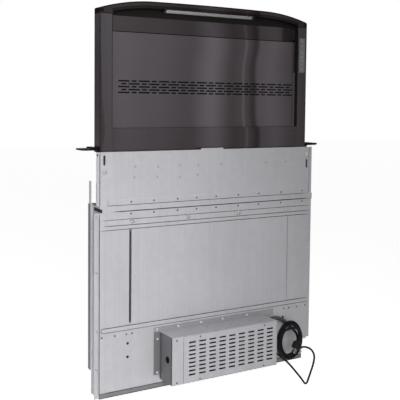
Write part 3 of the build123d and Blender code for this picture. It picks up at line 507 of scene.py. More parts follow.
def softened(node, radius, material, body="housing", segments=2, second=(), splits=()):
    """Merged copy of a CAD node whose sharp edges get a small radius; it stands for the node.

    Each entry of second is a material and a test on face centres that picks the faces it covers, and
    each entry of splits a point and a direction of a plane along which faces are divided before that.
    """
    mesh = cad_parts[node].data.copy()
    shape = bmesh.new()
    shape.from_mesh(mesh)
    bmesh.ops.remove_doubles(shape, verts=shape.verts, dist=1e-6)
    bmesh.ops.dissolve_limit(shape, angle_limit=math.radians(1.0), verts=shape.verts, edges=shape.edges)
    for point, square in splits:
        everything = shape.verts[:] + shape.edges[:] + shape.faces[:]
        bmesh.ops.bisect_plane(shape, geom=everything, plane_co=point, plane_no=square)
    shape.to_mesh(mesh)
    shape.free()
    mesh.materials.clear()
    mesh.materials.append(material)
    middles = np.zeros(len(mesh.polygons) * 3)
    mesh.polygons.foreach_get("center", middles)
    covered = np.zeros(len(mesh.polygons), dtype=np.int32)
    for number, (cover, picked) in enumerate(second, start=1):
        mesh.materials.append(cover)
        covered[picked(*middles.reshape(-1, 3).T)] = number
    mesh.polygons.foreach_set("material_index", covered)
    mesh.shade_smooth()
    mesh.set_sharp_from_angle(angle=math.radians(35))
    piece = placed(node + "_finished", mesh)
    rounding = piece.modifiers.new("edge_radius", "BEVEL")
    rounding.width = radius
    rounding.segments = segments
    rounding.limit_method = "ANGLE"
    rounding.angle_limit = math.radians(40)
    rounding.harden_normals = True
    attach(piece, body)
    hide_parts(node)
    return piece


# Darker and lighter copies of the same zinc, set by how light falls: painted shade on the bottom pan and on the
# control box's left side and left ear, and painted light, near white, on the rail extensions and the rails' front
# strips
zinc_painted_shade = zinc_finish("zinc_painted_shade", 0.21)
zinc_painted_light = zinc_finish("zinc_painted_light", 0.92, metallic=0.10)
rail_split = 0.0170
for node in ("upper_side_guides", "right_side_wall", "lower_front_panel", "rear_sheet", "outlet_collar",
             "upper_rear_plate"):
    softened(node, 0.0003, zinc)
# The rear part of the left wall's side face is drawn lighter than the zinc: painted light
softened("left_side_wall", 0.0003, zinc, second=[
    (zinc_finish("zinc_side_painted_light", 0.70), lambda x, y, z: (y > -0.0345) & (x < -0.3390))])
softened("rail_extensions", 0.0003, zinc_painted_light)
softened("bottom_pan", 0.0003, zinc_painted_shade)
# Each rail is split: its front strip is painted light near white, and the rest is painted shade
softened("rear_rails", 0.0003, zinc_rails_painted_shade, splits=[((0.0, rail_split, 0.0), (0.0, 1.0, 0.0))],
         second=[(zinc_painted_light, lambda x, y, z: y < rail_split)])

# ------------------------------------------------------------------ main front sheet
# The large front of the body: one galvanised sheet, stiffened by two upright
# grooves that are pressed into it, the left one deep and the right one shallow.
front_y = -0.0390
sheet_thick = 0.0010
body_half = 0.3400
groove_places = (-0.2520, 0.2620)
groove_depths = (0.0065, 0.0024)
groove_halves = (0.0034, 0.0024)
groove_wall, groove_run_out = 0.0005, 0.0030
groove_low, groove_high = -0.4560, -0.2075


def lines_near(start, end, even, centres=(), offsets=(0.0,)):
    """Grid lines from start to end: an even set, and closer ones at the offsets beside each centre."""
    lines = np.concatenate([np.linspace(start, end, even)] + [c + np.array(offsets) for c in centres])
    return np.unique(np.round(lines[(lines >= start) & (lines <= end)], 6))


def closed_sheet(front, back):
    """Two skins on one grid of points, with the rim between them."""
    rows, columns = front.shape[:2]
    count = rows * columns
    number = np.arange(count).reshape(rows, columns)
    skin = grid_faces(rows, columns)
    edge = np.concatenate([number[0, :-1], number[:-1, -1], number[-1, :0:-1], number[:0:-1, 0]])
    beside = np.roll(edge, -1)
    rim = np.stack([edge, beside, beside + count, edge + count], axis=1)
    return np.stack([front, back]), np.concatenate([skin, skin[:, ::-1] + count, rim])


def pressed_sheet(name, x_lines, z_lines, face, thickness, material=zinc, body="housing"):
    """Sheet whose front is y = face(x, z) over crossing grid lines and whose back lies one thickness behind."""
    x, z = np.meshgrid(x_lines, z_lines, indexing="ij")
    front = np.stack([x, face(x, z), z], axis=-1)
    return piece_from(name, [closed_sheet(front, front + (0.0, thickness, 0.0))], material, body)


def grooved(x, z):
    """Plane y = front_y, pushed back in each groove by depth times a smooth window across and along it."""
    y = np.full(x.shape, front_y)
    for place, half, depth in zip(groove_places, groove_halves, groove_depths):
        across = ease((half - np.abs(x - place)) / groove_wall)
        along = ease((z - groove_low) / groove_run_out) * ease((groove_high - z) / groove_run_out)
        y = y + depth * across * along
    return y


wall_lines = groove_wall * np.array([-0.4, 0.0, 0.25, 0.5, 0.75, 1.0, 2.5])
groove_lines = np.concatenate([half - wall_lines for half in groove_halves])
front_sheet_piece = pressed_sheet(
    "front_sheet_pressed",
    lines_near(-body_half, body_half, 25, groove_places, np.r_[-groove_lines, 0.0, groove_lines]),
    lines_near(-0.4670, -0.1420, 14, (groove_low, groove_high), np.linspace(-0.0032, 0.0032, 9)),
    grooved, sheet_thick)
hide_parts("front_sheet")

# ------------------------------------------------------------------ hem strip
# Strip over the joint of the two front sheets. A flat bead with a rounded left
# end is pressed into it, and a narrow crease runs along each side of the bead.
strip_y = -0.0400
bead_middle, bead_half = -0.46665, 0.0056
bead_left = -0.3352
bead_rise, crease = 0.0009, 0.0011


def hem_face(x, z):
    """Plane raised where the bead's middle line is nearer than its half height, with a crease round it."""
    beyond = np.maximum(bead_left + bead_half - x, 0.0)
    inside = bead_half - np.hypot(beyond, z - bead_middle)
    raised = bead_rise * ease(inside / 0.0008)
    sunk = crease * np.exp(-((inside + 0.0006) / 0.0006) ** 2)
    return strip_y - raised + sunk


hem_offsets = np.linspace(-0.0016, 0.0022, 12)
hem_piece = pressed_sheet(
    "hem_strip_pressed",
    lines_near(-body_half + 0.004, body_half, 12, (bead_left,), np.linspace(-0.0016, 0.0072, 24)),
    lines_near(-0.4780, -0.4595, 8, (bead_middle - bead_half, bead_middle + bead_half),
               np.r_[hem_offsets, -hem_offsets, np.linspace(0.0, 0.0112, 16)]),
    hem_face, sheet_thick * 0.6)
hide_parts("lower_hem_strip")


def laid_bead(stops, radius):
    """Thin bead straight from stop to stop, narrowed at both ends and swelling slightly by a sine."""
    stops = np.array(stops, float)
    along = lengths_along(stops)
    at = np.unique(np.r_[np.linspace(0.0, along[-1], 60), along])
    share = at / along[-1]
    radii = radius * (0.25 + 0.75 * ease(np.minimum(share, 1 - share) * 30)) * (1 + 0.08 * np.sin(share * 60))
    return tube_along(points_along(stops, at), radii, 10)


def level_bead(ends, y, z, radius):
    """Bead along X between two ends."""
    return laid_bead([(x, y, z) for x in ends], radius)


def upright_bead(x, y, ends, radius):
    """Bead along Z between two ends."""
    return laid_bead([(x, y, z) for z in ends], radius)


# Dark beads drawn in the crease as painted shade: along the bead's upper side, round its left end and back along its
# lower side, and two lines of painted shade across the foot of the body
crease_painted_shade = finish_of("crease_painted_shade", [(0.016, 0.016, 0.018), (0.036, 0.036, 0.038)], 0.0, (0.6, 0.75), 60, 20,
                         bump=0.0001, bump_grain=500, gloss=0.2)
pan_lines = [level_bead((-body_half, 0.3210), strip_y, z, 0.00075) for z in (-0.6312, -0.6428)]
around_bead = [(bead_left + bead_half + bead_half * math.cos(t), strip_y, bead_middle + bead_half * math.sin(t))
               for t in np.linspace(math.pi / 2, 3 * math.pi / 2, 14)]
around_bead.insert(0, (body_half - 0.0015, strip_y, bead_middle + bead_half))
around_bead.append((body_half - 0.0015, strip_y, bead_middle - bead_half))
piece_from("hem_painted_shade", [laid_bead(around_bead, 0.00070)] + pan_lines, crease_painted_shade)

# ------------------------------------------------------------------ seam strip
# Strip with a broad raised ridge that closes the upper joint. Its left end has a
# short slanting bead, and its lower edge is rolled.
ridge_low, ridge_high = -0.1950, -0.1800
ridge_rise = 0.0012
ridge_left = -0.3280
slant_start, slant_end = np.array([-0.3330, -0.1620]), np.array([-0.3010, -0.1745])
slant_half = 0.0020
roll_start = -0.2045


def seam_face(x, z):
    """Plane raised by the ridge's smooth window and the slanting bead, creased beside and rolled at the foot."""
    from_left = ease((x - ridge_left) / 0.0030)
    window = ease((z - ridge_low) / 0.0010) * ease((ridge_high - z) / 0.0010) * from_left
    run = slant_end - slant_start
    share = np.clip(((x - slant_start[0]) * run[0] + (z - slant_start[1]) * run[1]) / run.dot(run), 0, 1)
    away = np.hypot(x - slant_start[0] - share * run[0], z - slant_start[1] - share * run[1])
    bead = 0.0009 * ease((slant_half - away) / slant_half)
    crease_low = 0.0009 * np.exp(-((z - ridge_low + 0.0005) / 0.0005) ** 2)
    crease_high = 0.0007 * np.exp(-((z - ridge_high - 0.0004) / 0.0004) ** 2)
    rolled = 0.0007 * ease((roll_start - z) / 0.0015)
    return strip_y - ridge_rise * window - bead + (crease_low + crease_high) * from_left + rolled


seam_offsets = np.linspace(-0.0012, 0.0016, 10)
left_offsets = np.r_[np.linspace(0, 0.003, 5), np.linspace(-0.006, 0.028, 30)]
seam_piece = pressed_sheet(
    "seam_strip_pressed", lines_near(-body_half, body_half, 12, (ridge_left,), left_offsets),
    lines_near(-0.2060, -0.1603, 30, (ridge_low, ridge_high, roll_start), np.r_[seam_offsets, -seam_offsets]),
    seam_face, sheet_thick * 0.6)
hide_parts("seam_strip")

# ------------------------------------------------------------------ adjustable plate
# The plate below the counter slides on two keyhole slots. A folded lip with its
# rivets runs along its foot, spot welds mark its back stiffeners, and dark beads
# along the joints round it are painted shade.
softened("upper_front_plate", 0.0003, zinc)
lip_top, lip_foot = -0.1272, -0.1418
lip_left, lip_right = -0.3170, 0.3375


def lip_face(x, z):
    """Plane just before the plate, bent back to it along the upper edge and rolled at the foot."""
    return strip_y - 0.0006 * ease((lip_top - z) / 0.0020) + 0.0004 * ease((lip_foot + 0.0008 - z) / 0.0008)


pressed_sheet("plate_lip", lines_near(lip_left, lip_right, 3),
              lines_near(lip_foot, lip_top, 9, (lip_foot, lip_top), np.linspace(-0.002, 0.002, 9)),
              lip_face, 0.0006)

# Dark beads along the lip, in the left groove, down the edges of the plate and flange, and in the ridge's creases:
# painted shade
plate_edge, plate_span, line_end, lip_shade_line = 0.3395, (-0.0060, -0.1420), 0.3385, -0.1427
piece_from("seam_painted_shade", [
    laid_bead([(lip_left, strip_y, -0.1280), (lip_left, strip_y, lip_shade_line), (lip_right, strip_y, lip_shade_line)], 0.00062),
    upright_bead(-0.2524, -0.0370, (-0.2090, -0.4545), 0.00220),
    level_bead((-0.3005, line_end), strip_y, -0.1586, 0.00105),
    upright_bead(-plate_edge, strip_y, plate_span, 0.00085),
    upright_bead(plate_edge, strip_y, plate_span, 0.00045),
    upright_bead(-0.3494, strip_y, (-0.0800, plate_span[1]), 0.00050),
    upright_bead(-body_half, front_y - 0.0006, (-0.1610, -0.6420), 0.00075),
    level_bead((-0.3360, line_end), strip_y, ridge_high, 0.00050),
    level_bead((ridge_left, line_end), strip_y, ridge_low - 0.0004, 0.00055),
    level_bead((-line_end, line_end), strip_y + 0.0004, -0.2061, 0.00060),
], crease_painted_shade)

weld_places = [(-0.239, -0.043), (-0.172, -0.046), (-0.107, -0.044), (-0.048, -0.046), (0.027, -0.045),
               (0.179, -0.046), (0.252, -0.046), (-0.242, -0.072), (-0.174, -0.074), (-0.106, -0.076),
               (-0.050, -0.072)]
crater = [(0.0001, 0.00001), (0.0011, 0.00006), (0.0020, 0.00030), (0.0028, 0.00028), (0.0038, 0.00003),
          (0.0038, -0.0002), (0.0001, -0.0002)]
zinc_scorched = zinc_finish("zinc_scorched", 0.40, crystal=160.0)
piece_from("spot_welds", [turned(crater, (x, strip_y, z)) for x, z in weld_places], zinc_scorched)


def moulded_block(low, high, corner, edge=0.0004):
    """Block from front to back: a rectangle with round corners, drawn in by edge at both ends."""
    low, high = np.array(low, float), np.array(high, float)
    turn = (np.arange(24) + 0.5) * math.pi / 12
    middle, half = (low + high) / 2, (high - low) / 2
    inset = edge * np.array([1.0, 0.3, 0.0, 0.0, 0.3, 1.0])[:, None]
    depth = high[1] - low[1]
    points = np.zeros((6, 24, 3))
    for k, wave in ((0, np.cos(turn)), (2, np.sin(turn))):
        points[..., k] = middle[k] + np.sign(wave) * (half[k] - corner) + (corner - inset) * wave
    along = np.array([0.0, 0.3 * edge, edge, depth - edge, depth - 0.3 * edge, depth])
    points[..., 1] = low[1] + along[:, None]
    return points, tube_faces(6, 24)


# Dark blocks and discs as painted shade: behind the keyhole slots, in the gap beside the plate's foot, and in four
# small holes
keyhole_places = ((-0.3270, -0.0250), (0.3300, -0.0535))
shade_pads = [moulded_block((x - 0.0029, -0.0394, z - 0.0129), (x + 0.0029, -0.0391, z + 0.0129), 0.0028, edge=0.0001)
        for x, z in keyhole_places]
gap_block_left, gap_block_slope = -0.3538, 0.42
gap_block_points, gap_block_faces = moulded_block((gap_block_left, -0.0406, -0.1518), (-0.3325, -0.0362, -0.1425), 0.0012)
gap_block_points[..., 2] -= gap_block_slope * (gap_block_points[..., 0] - gap_block_left)
shade_pads.append((gap_block_points, gap_block_faces))
hole_disc = [(0.0001, 0.0), (0.0037, 0.0), (0.0035, 0.0004), (0.0001, 0.0005)]
small_disc = [(0.0001, 0.0), (0.0025, 0.0), (0.0024, 0.0005), (0.0001, 0.0006)]
shade_pads += [turned(hole_disc, (x, front_y, z), 16) for x, z in ((-0.259, -0.509), (-0.259, -0.545), (0.251, -0.509))]
shade_pads.append(turned(small_disc, (-0.346, strip_y, -0.011), 16))
piece_from("gap_cover", [moulded_block((0.3400, -0.0390, -0.1605), (0.3532, -0.0374, -0.1425), 0.0006)],
           zinc)
# Near black for these blocks and discs: painted shade
pads_painted_shade = finish_of("pads_painted_shade", [(0.008, 0.008, 0.009), (0.030, 0.030, 0.032)], 0.0, (0.7, 0.9), 500, 60,
                        bump=0.0003, bump_grain=900)
piece_from("plate_painted_shade", shade_pads, pads_painted_shade)

# ------------------------------------------------------------------ rivets and screws
# Blind rivets hold the strips and sheets; zinc-plated pan-head screws with a
# cross recess hold the ridge, the side flanges and the adjustable plate.
rivet_columns = np.array([-251, -184, -112, -52, 11, 85, 156, 236, 315]) / 1000
lip_rivets = [(x, strip_y - 0.0006, -0.1350) for x in rivet_columns]
strip_rivets = [(x, strip_y, -0.1660) for x in rivet_columns]
panel_rivets = [(x, front_y, -0.4840) for x in np.array([-333, -296, -263, -246, 254, 273, 302, 334]) / 1000]
rivet_dome = [(0.0026, -0.0001), (0.0026, 0.0003), (0.0023, 0.0007), (0.0016, 0.0010), (0.0010, 0.0011),
              (0.0007, 0.0006), (0.00002, 0.0005)]
rivet_steel = finish_of("rivet_steel", [(0.09, 0.09, 0.095), (0.20, 0.20, 0.21)], 0.7, (0.30, 0.45), 300, 90)
rivets = piece_from(
    "rivets_domed", [turned(rivet_dome, place, 16) for place in lip_rivets + strip_rivets + panel_rivets],
    rivet_steel)
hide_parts("sheet_rivets")


def cross_head(centre, radius, height, around=40):
    """Pan head: height falls with the fourth power of radius, less a cross recess with sloping walls."""
    share = np.array([0, 0.08, 0.16, 0.24, 0.32, 0.40, 0.48, 0.54, 0.62, 0.72, 0.83, 0.92, 0.98, 1.0, 1.0])
    turn = full_turn(around) + 0.6
    u, v = share[:, None] * np.cos(turn), share[:, None] * np.sin(turn)
    near, far = np.minimum(abs(u), abs(v)), np.maximum(abs(u), abs(v))
    cut = ease((0.17 - near) / 0.09) * ease((0.58 - far) / 0.12)
    rise = height * (1 - 0.55 * share[:, None] ** 4 - 0.6 * cut)
    rise[-1] = -0.0001
    return np.array(centre) + np.stack([u * radius, -rise, v * radius], axis=-1), tube_faces(len(share), around)


ridge_screws = [(x, strip_y - ridge_rise, -0.1845) for x in (-0.248, -0.080, 0.087, 0.254)]
flange_screws = [(-0.347, -0.036, z) for z in (-0.170, -0.314, -0.466, -0.567)] + [(0.346, -0.036, -0.311)]
clamp_screws = [(-0.3270, strip_y, -0.0540), (0.3300, strip_y, -0.0280)]
heads = [cross_head(place, radius, height) for places, radius, height in (
    (ridge_screws, 0.0054, 0.0030), (flange_screws, 0.0035, 0.0018), (clamp_screws, 0.0060, 0.0020))
    for place in places]
screw_plating = finish_of(
    "screw_plating", [(0.50, 0.50, 0.51), (0.72, 0.72, 0.74)], 0.75, (0.18, 0.30), 400, 120)
screws = piece_from("body_screws", heads, screw_plating)
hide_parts("sheet_screws")

# Dark discs set a little right of and below the ridge's screws and the plate's two clamp screws: painted shadows
shadow_disc = np.array([(0.0001, 0.0), (1.0, 0.0), (0.96, 0.0003), (0.0001, 0.0003)])
piece_from("screw_painted_shadows", [
    turned(shadow_disc * (size, 1.0), (x + 0.0007, y, z - 0.0008), 20)
    for places, size in ((ridge_screws, 0.0060), (clamp_screws, 0.0064)) for x, y, z in places],
    crease_painted_shade)

# ------------------------------------------------------------------ control box
# Folded galvanised box on the body's front, with a slotted cover, two ears and
# small screws. A rubber grommet lines the hole in its left side.
box_left, box_right, box_front_y, box_top_z, box_foot_z = -0.1635, 0.1778, -0.1090, -0.4915, -0.6197
box_sheet = 0.0012
# Near black for the grommet, the riser's edging, the hood's edging and the cap's ends, and painted shade on the box's
# inside faces and on the back of its cover
black_and_painted_shade = finish_of("black_and_painted_shade", [0.006, 0.012], 0.0, (0.7, 0.9), 300, 60, gloss=0.1)


def inside_painted_shade(x, y, z):
    """Faces inside the box's walls, drawn near black as painted shade."""
    across = (x > box_left + 0.5 * box_sheet) & (x < box_right - 0.5 * box_sheet)
    upright = (z > box_foot_z + 0.5 * box_sheet) & (z < box_top_z - 0.5 * box_sheet)
    return across & upright & (y > box_front_y + 0.5 * box_sheet) & (y < -0.0395)


# Painted shade on the box: the inside faces are near black, the left side and left ear use the darkest zinc copy, and
# the top ear and right ear use a darker copy
ear_zinc_painted_shade = zinc_finish("ear_zinc_painted_shade", 0.34)
softened("control_box", 0.0004, zinc, segments=3, splits=[
    ((box_left - 0.0001, 0.0, 0.0), (1.0, 0.0, 0.0)), ((box_right + 0.0001, 0.0, 0.0), (1.0, 0.0, 0.0)),
    ((0.0, 0.0, box_top_z + 0.0001), (0.0, 0.0, 1.0))], second=[
    (black_and_painted_shade, inside_painted_shade), (zinc_painted_shade, lambda x, y, z: (x < box_left + 0.0001) & (z < box_top_z)),
    (ear_zinc_painted_shade, lambda x, y, z: (z > box_top_z + 0.0003) | (x > box_right + 0.0002))])
# The cover's back faces and slot walls are drawn near black: painted shade
softened("control_box_cover", 0.0002, zinc, second=[
    (black_and_painted_shade, lambda x, y, z: y > box_front_y + 0.1 * box_sheet)])
# Dark beads along the cover's edge and the box's left corners: painted shade
cover_edge, seam_span = -0.1293, (box_foot_z + 0.002, box_top_z - 0.002)
piece_from("cover_painted_shade", [upright_bead(x, y, seam_span, radius) for x, y, radius in (
    (cover_edge, box_front_y, 0.00045), (box_left, -0.0470, 0.00090), (box_left, -0.1050, 0.00060))],
    crease_painted_shade)
cover_screws = [(-0.150, -0.5005), (-0.149, -0.613), (-0.078, -0.499), (-0.078, -0.614), (0.133, -0.499),
                (0.132, -0.614)]
ear_screws = [(box_left - 0.007, -0.510), (box_left - 0.007, -0.602)]
ear_screws += [(x, -0.4845) for x in (-0.172, -0.107, -0.034, 0.037, 0.120)]
top_rivets = [(-0.030, -0.066), (0.037, -0.082), (0.109, -0.070), (0.137, -0.085)]
low_dome = [(0.0020, -0.0001), (0.0020, 0.0003), (0.0014, 0.0008), (0.00002, 0.0010)]
box_heads = [cross_head((x, box_front_y, z), 0.0024, 0.0011, 24) for x, z in cover_screws]
box_heads += [turned(low_dome, (x, y, box_top_z), 16, (0, 0, 1)) for x, y in top_rivets]
bright_heads = [cross_head((x, -0.0402, z), 0.0034, 0.0016, 32) for x, z in ear_screws]
nickel_bright = finish_of(
    "nickel_bright", [(0.70, 0.70, 0.71), (0.88, 0.88, 0.89)], 0.6, (0.16, 0.28), 400, 120)
piece_from("box_cover_screws", box_heads, rivet_steel)
ear_heads = piece_from("box_ear_screws", bright_heads, nickel_bright)
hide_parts("box_screws")


def turned_ring(profile, centre, axis=(0, -1, 0)):
    """Ring of revolution: a closed profile of radius and height carried round an axis."""
    points, _ = turned(profile, centre, 40, axis)
    return points, grid_faces(len(profile), 40, wrap_rows=True, wrap_columns=True)


grommet_profile = [(0.0040, 0.0021), (0.0060, 0.0022), (0.0060, 0.0004), (0.0086, 0.0002), (0.0092, -0.0006),
                   (0.0090, -0.0012), (0.0078, -0.0015), (0.0048, -0.0015), (0.0041, -0.0008)]
grommet = piece_from("grommet_moulded", [turned_ring(grommet_profile, (box_left, -0.0845, -0.556), (1, 0, 0))],
                     black_and_painted_shade)
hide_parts("box_grommet")

# ------------------------------------------------------------------ control electronics
# Green board on four posts with relays, capacitors and a ribbed transformer, and
# a terminal strip for the wiring, drawn dark grey as painted shade inside the box.
solder_green = finish_of(
    "solder_green", [(0.003, 0.012, 0.006), (0.005, 0.022, 0.010), (0.010, 0.032, 0.015)], 0.0, (0.25, 0.40), 240, 400)
softened("control_board", 0.0002, solder_green)
board_y = -0.0498
relays = [moulded_block((x, board_y - 0.016, -0.546), (x + 0.019, board_y, -0.530), 0.0012, edge=0.0008)
          for x in (-0.088, -0.062, -0.036)]
cans = [turned([(0.0001, 0.0), (radius, 0.0), (radius, 0.018), (radius - 0.0006, 0.0190), (radius - 0.002, 0.0186),
                (0.0001, 0.0184)], (x, board_y, -0.572))
        for x, radius in ((-0.010, 0.005), (0.006, 0.005), (0.024, 0.0065))]
parts_black = finish_of(
    "parts_black", [(0.010, 0.010, 0.012), (0.024, 0.024, 0.028)], 0.0, (0.30, 0.45), 400, 120)
piece_from("board_parts", relays + cans, parts_black)
varnish_dark = finish_of(
    "varnish_dark", [(0.020, 0.018, 0.016), (0.050, 0.046, 0.042)], 0.3, (0.35, 0.50), (40, 40, 1400), 60,
    bump=0.0002, bump_grain=(20, 20, 1600))
softened("transformer", 0.0004, varnish_dark)
nylon_white = finish_of("nylon_white", [(0.46, 0.45, 0.42), (0.60, 0.59, 0.55)], 0.0, (0.38, 0.52), 200, 60,
                        bump=0.00005, bump_grain=900)
# Dark grey for the terminal strip: painted shade inside the box
nylon_painted_shade = finish_of(
    "nylon_painted_shade", [(0.050, 0.050, 0.048), (0.080, 0.080, 0.076)], 0.0, (0.45, 0.60), 200, 60)
softened("terminal_block", 0.0003, nylon_painted_shade)

# ------------------------------------------------------------------ lift drive
# A gearmotor on a bent bracket turns a steel screw of four starts through a
# coupler. Rails on the side walls guide the riser, and two switches stop it.
for node in ("motor_bracket", "guide_rails"):
    softened(node, 0.0002, zinc)
softened("lift_gearbox", 0.0006, nylon_black)
softened("position_switches", 0.0005, nylon_black)
motor_enamel = finish_of("motor_enamel", [(0.030, 0.030, 0.033), (0.055, 0.055, 0.060)], 0.2, (0.30, 0.42), 160, 40,
                         bump=0.00005, bump_grain=900)
can_at = np.linspace(0.0, 1.0, 45)
can_radius = 0.0160 - 0.0006 * (np.sin(can_at * 50) > 0.5) * (can_at > 0.2) * (can_at < 0.8)
can_radius[0], can_radius[-1], can_radius[-2] = 0.0004, 0.0130, 0.0155
motor_profile = list(zip(can_radius, can_at * 0.070)) + [(0.0060, 0.0702), (0.0060, 0.0735), (0.0004, 0.0740)]
motor = piece_from("motor_can", [turned(motor_profile, (0.030, -0.011, -0.609), 40, (1, 0, 0))],
                   motor_enamel)
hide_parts("lift_motor")

# Thread: radius r = r0 + h tanh(2.2 sin(4 t - 2 pi z / pitch)), level near the screw's head
screw_y, screw_foot, screw_head_z, screw_pitch = 0.0035, -0.5870, -0.1800, 0.005
thread_turn = full_turn(32)[None, :]
thread_z = np.linspace(screw_foot, screw_head_z, 340)[:, None]
flank = np.tanh(2.2 * np.sin(4 * thread_turn - 2 * math.pi * thread_z / screw_pitch))
thread_radius = 0.00345 + 0.00050 * flank * (thread_z < screw_head_z - 0.003)
screw_surface = np.stack([thread_radius * np.cos(thread_turn), screw_y + thread_radius * np.sin(thread_turn),
                          np.broadcast_to(thread_z, thread_radius.shape)], axis=-1)
oiled_steel = finish_of(
    "oiled_steel", [(0.22, 0.22, 0.22), (0.38, 0.38, 0.39)], 0.95, (0.18, 0.30), (60, 60, 500), 40)
thread = piece_from("screw_thread", [(screw_surface, tube_faces(340, 32))], oiled_steel, "lift_shaft")
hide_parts("lift_screw")
softened("drive_coupler", 0.0002, oiled_steel, body="lift_shaft")

# ------------------------------------------------------------------ riser's inner frame
# The galvanised tube under the riser's visible part, the beam with the white nut
# that the screw lifts, and the nylon blocks that slide in the guide rails.
for node, radius, material, slot in (
        ("riser_frame", 0.0002, zinc, "galvanised"), ("lift_beam", 0.0002, zinc, "galvanised"),
        ("lift_nut", 0.0004, nylon_white, "nylon"), ("glide_blocks", 0.0004, nylon_white, "nylon")):
    softened(node, radius, material, body="riser")

# ------------------------------------------------------------------ riser sheets
# Folded stainless with a thin brown-black coating over a horizontal brushing.
# Soft upright bands of painted reflection run through the coating's colour, brightest a little
# right of the middle, where a dark band and a thin bright line stand beside it.
# Places along X and levels of the painted reflection bands
painted_reflection_places = np.array([-333, -328, -270, -180, -70, 5, 80, 110, 118, 126, 153, 172, 215, 290, 333]) / 1000
painted_reflection_levels = np.array([56, 84, 100, 88, 70, 116, 56, 64, 96, 62, 36, 84, 96, 64, 52]) / 1000
band_reach = 0.350


def brushed_black(name, tone, painted_shade_from=None):
    """Coated stainless: upright bands of painted reflection by a ramp along X that noise bends, times fine lines drawn
    out along X.

    Past a given place along X the colour darkens to 45% over 12 mm as painted shade.
    """
    made = new_material(name)
    tree = made.node_tree
    where = wired(tree, "TexCoord", "Object", {})
    x = wired(tree, "SeparateXYZ", "X", {"Vector": where})
    bend = between(tree, noise_in(tree, (2.0, 2.0, 5.0), 1.0), -0.012, 0.012, 0.3, 0.7)
    place = between(tree, wired(tree, "Math", 0, {0: x, 1: bend}), 0.0, 1.0, -band_reach, band_reach)
    levels = painted_reflection_levels * tone
    paleness = np.minimum(levels, 0.10)
    shades = np.stack([levels, levels * (0.77 + 1.1 * paleness), levels * (0.77 + 2.0 * paleness)], axis=1)
    bands = ramp_in(tree, place, (painted_reflection_places + band_reach) / (2 * band_reach), shades, "EASE")
    brushing = noise_in(tree, (5.0, 5.0, 1500.0), 3.0)
    colour = scaled(tree, bands, between(tree, brushing, 0.90, 1.10, 0.3, 0.7))
    if painted_shade_from:
        colour = scaled(tree, colour, between(tree, x, 1.0, 0.45, painted_shade_from, painted_shade_from + 0.012))
    fill(shader_of(made), {
        "Metallic": 1.0, "Base Color": colour, "Roughness": between(tree, brushing, 0.24, 0.34, 0.3, 0.7)})
    return made


# Each copy's tone is painted light and shade: the same coated stainless is drawn lighter or darker part by part as
# light falls on it, darkest on the trim set back under the hood, and the top rail darkens further towards its right
# end as painted shade
panel_black = brushed_black("panel_black", 1.32)
post_black = brushed_black("post_black", 1.15)
cross_black = brushed_black("cross_black", 1.02)
rail_black = brushed_black("rail_black", 0.76, painted_shade_from=0.248)
trim_black = brushed_black("trim_black", 0.28)
cap_black = brushed_black("cap_black", 0.56)
# Inner returns of the posts beside the slotted panel, drawn near black: painted shade
return_painted_shade = finish_of("return_painted_shade", [(0.020, 0.018, 0.017), (0.034, 0.031, 0.029)], 0.0, (0.5, 0.6),
                         (30, 30, 900), 30, gloss=0.2)
post_inner = 0.3000
for node in ("left_pillar", "right_pillar"):
    post = softened(node, 0.0006, post_black, body="riser", segments=3, second=[
        (return_painted_shade, lambda x, y, z: np.abs(np.abs(x) - post_inner) < 0.0003)])
    post.visible_glossy = False
for node, radius, material in (("riser_rear_panel", 0.0004, post_black), ("lower_cross_panel", 0.0003, cross_black),
                               ("top_rail", 0.0003, rail_black)):
    softened(node, radius, material, body="riser")

# Thin black edging: down the left front corner, beside the slotted panel, over it, and under the cap
post_side, post_front, post_head, cross_foot = 0.3330, -0.0270, 0.3490, 0.0560
panel_head, panel_front, panel_half = 0.3062, -0.0150, 0.2985
edging_y = post_front + 0.0004
edging = [upright_bead(-post_side + 0.0002, post_front + 0.0010, (0.0060, post_head), 0.00105)]
edging += [upright_bead(side * post_inner, edging_y, (cross_foot, post_head), 0.00085) for side in (-1, 1)]
edging += [level_bead((side * (post_side - 0.0003), side * post_inner), edging_y, post_head, 0.00100)
           for side in (-1, 1)]
edging.append(level_bead((-panel_half, panel_half), panel_front, panel_head, 0.00100))
piece_from("riser_edging", edging, black_and_painted_shade, "riser")

# ------------------------------------------------------------------ cap
# Arched hood of coated stainless over the riser, with a second band set back
# under its front, a backboard in the recess drawn near black as painted shade, and moulded corner plugs.
softened("cap", 0.0005, cap_black, body="riser", segments=3, second=[
    (black_and_painted_shade, lambda x, y, z: np.abs(x) > 0.3275)])
softened("cap_trim", 0.0004, trim_black, body="riser")
enamel_black = finish_of("enamel_black", [0.003, 0.006], 0.0, (0.48, 0.60), 200, 30,
                         bump=0.00005, bump_grain=700, gloss=0.10)
# Near black for the recess: painted shade on the backboard and on the back of the slotted panel
recess_painted_shade = finish_of(
    "recess_painted_shade", [(0.007, 0.006, 0.005), (0.012, 0.010, 0.008)], 0.0, (0.6, 0.8), 200, 30, gloss=0.2)
softened("soffit_board", 0.0002, recess_painted_shade, body="riser")
softened("cap_corners", 0.0004, nylon_black, body="riser")


def arch_height(x):
    """Height of the arch: a circle through crown and shoulders, then a tangent circle out to the corner."""
    crown, shoulder_x, shoulder_z, corner_z = 0.3893, 0.1800, 0.3879, 0.3635
    x = np.abs(x)
    slope = 2 * (crown - shoulder_z) / shoulder_x
    run, fall = post_side - shoulder_x, shoulder_z - corner_z
    half_turn = math.atan2(fall, run) - math.atan(slope)
    radius = math.hypot(run, fall) / (2 * math.sin(half_turn))
    centre_x = shoulder_x - radius * math.sin(math.atan(slope))
    centre_z = shoulder_z - radius * math.cos(math.atan(slope))
    inner = crown - (crown - shoulder_z) * (x / shoulder_x) ** 2
    outer = centre_z + np.sqrt(radius ** 2 - (x - centre_x) ** 2)
    return np.where(x < shoulder_x, inner, outer)


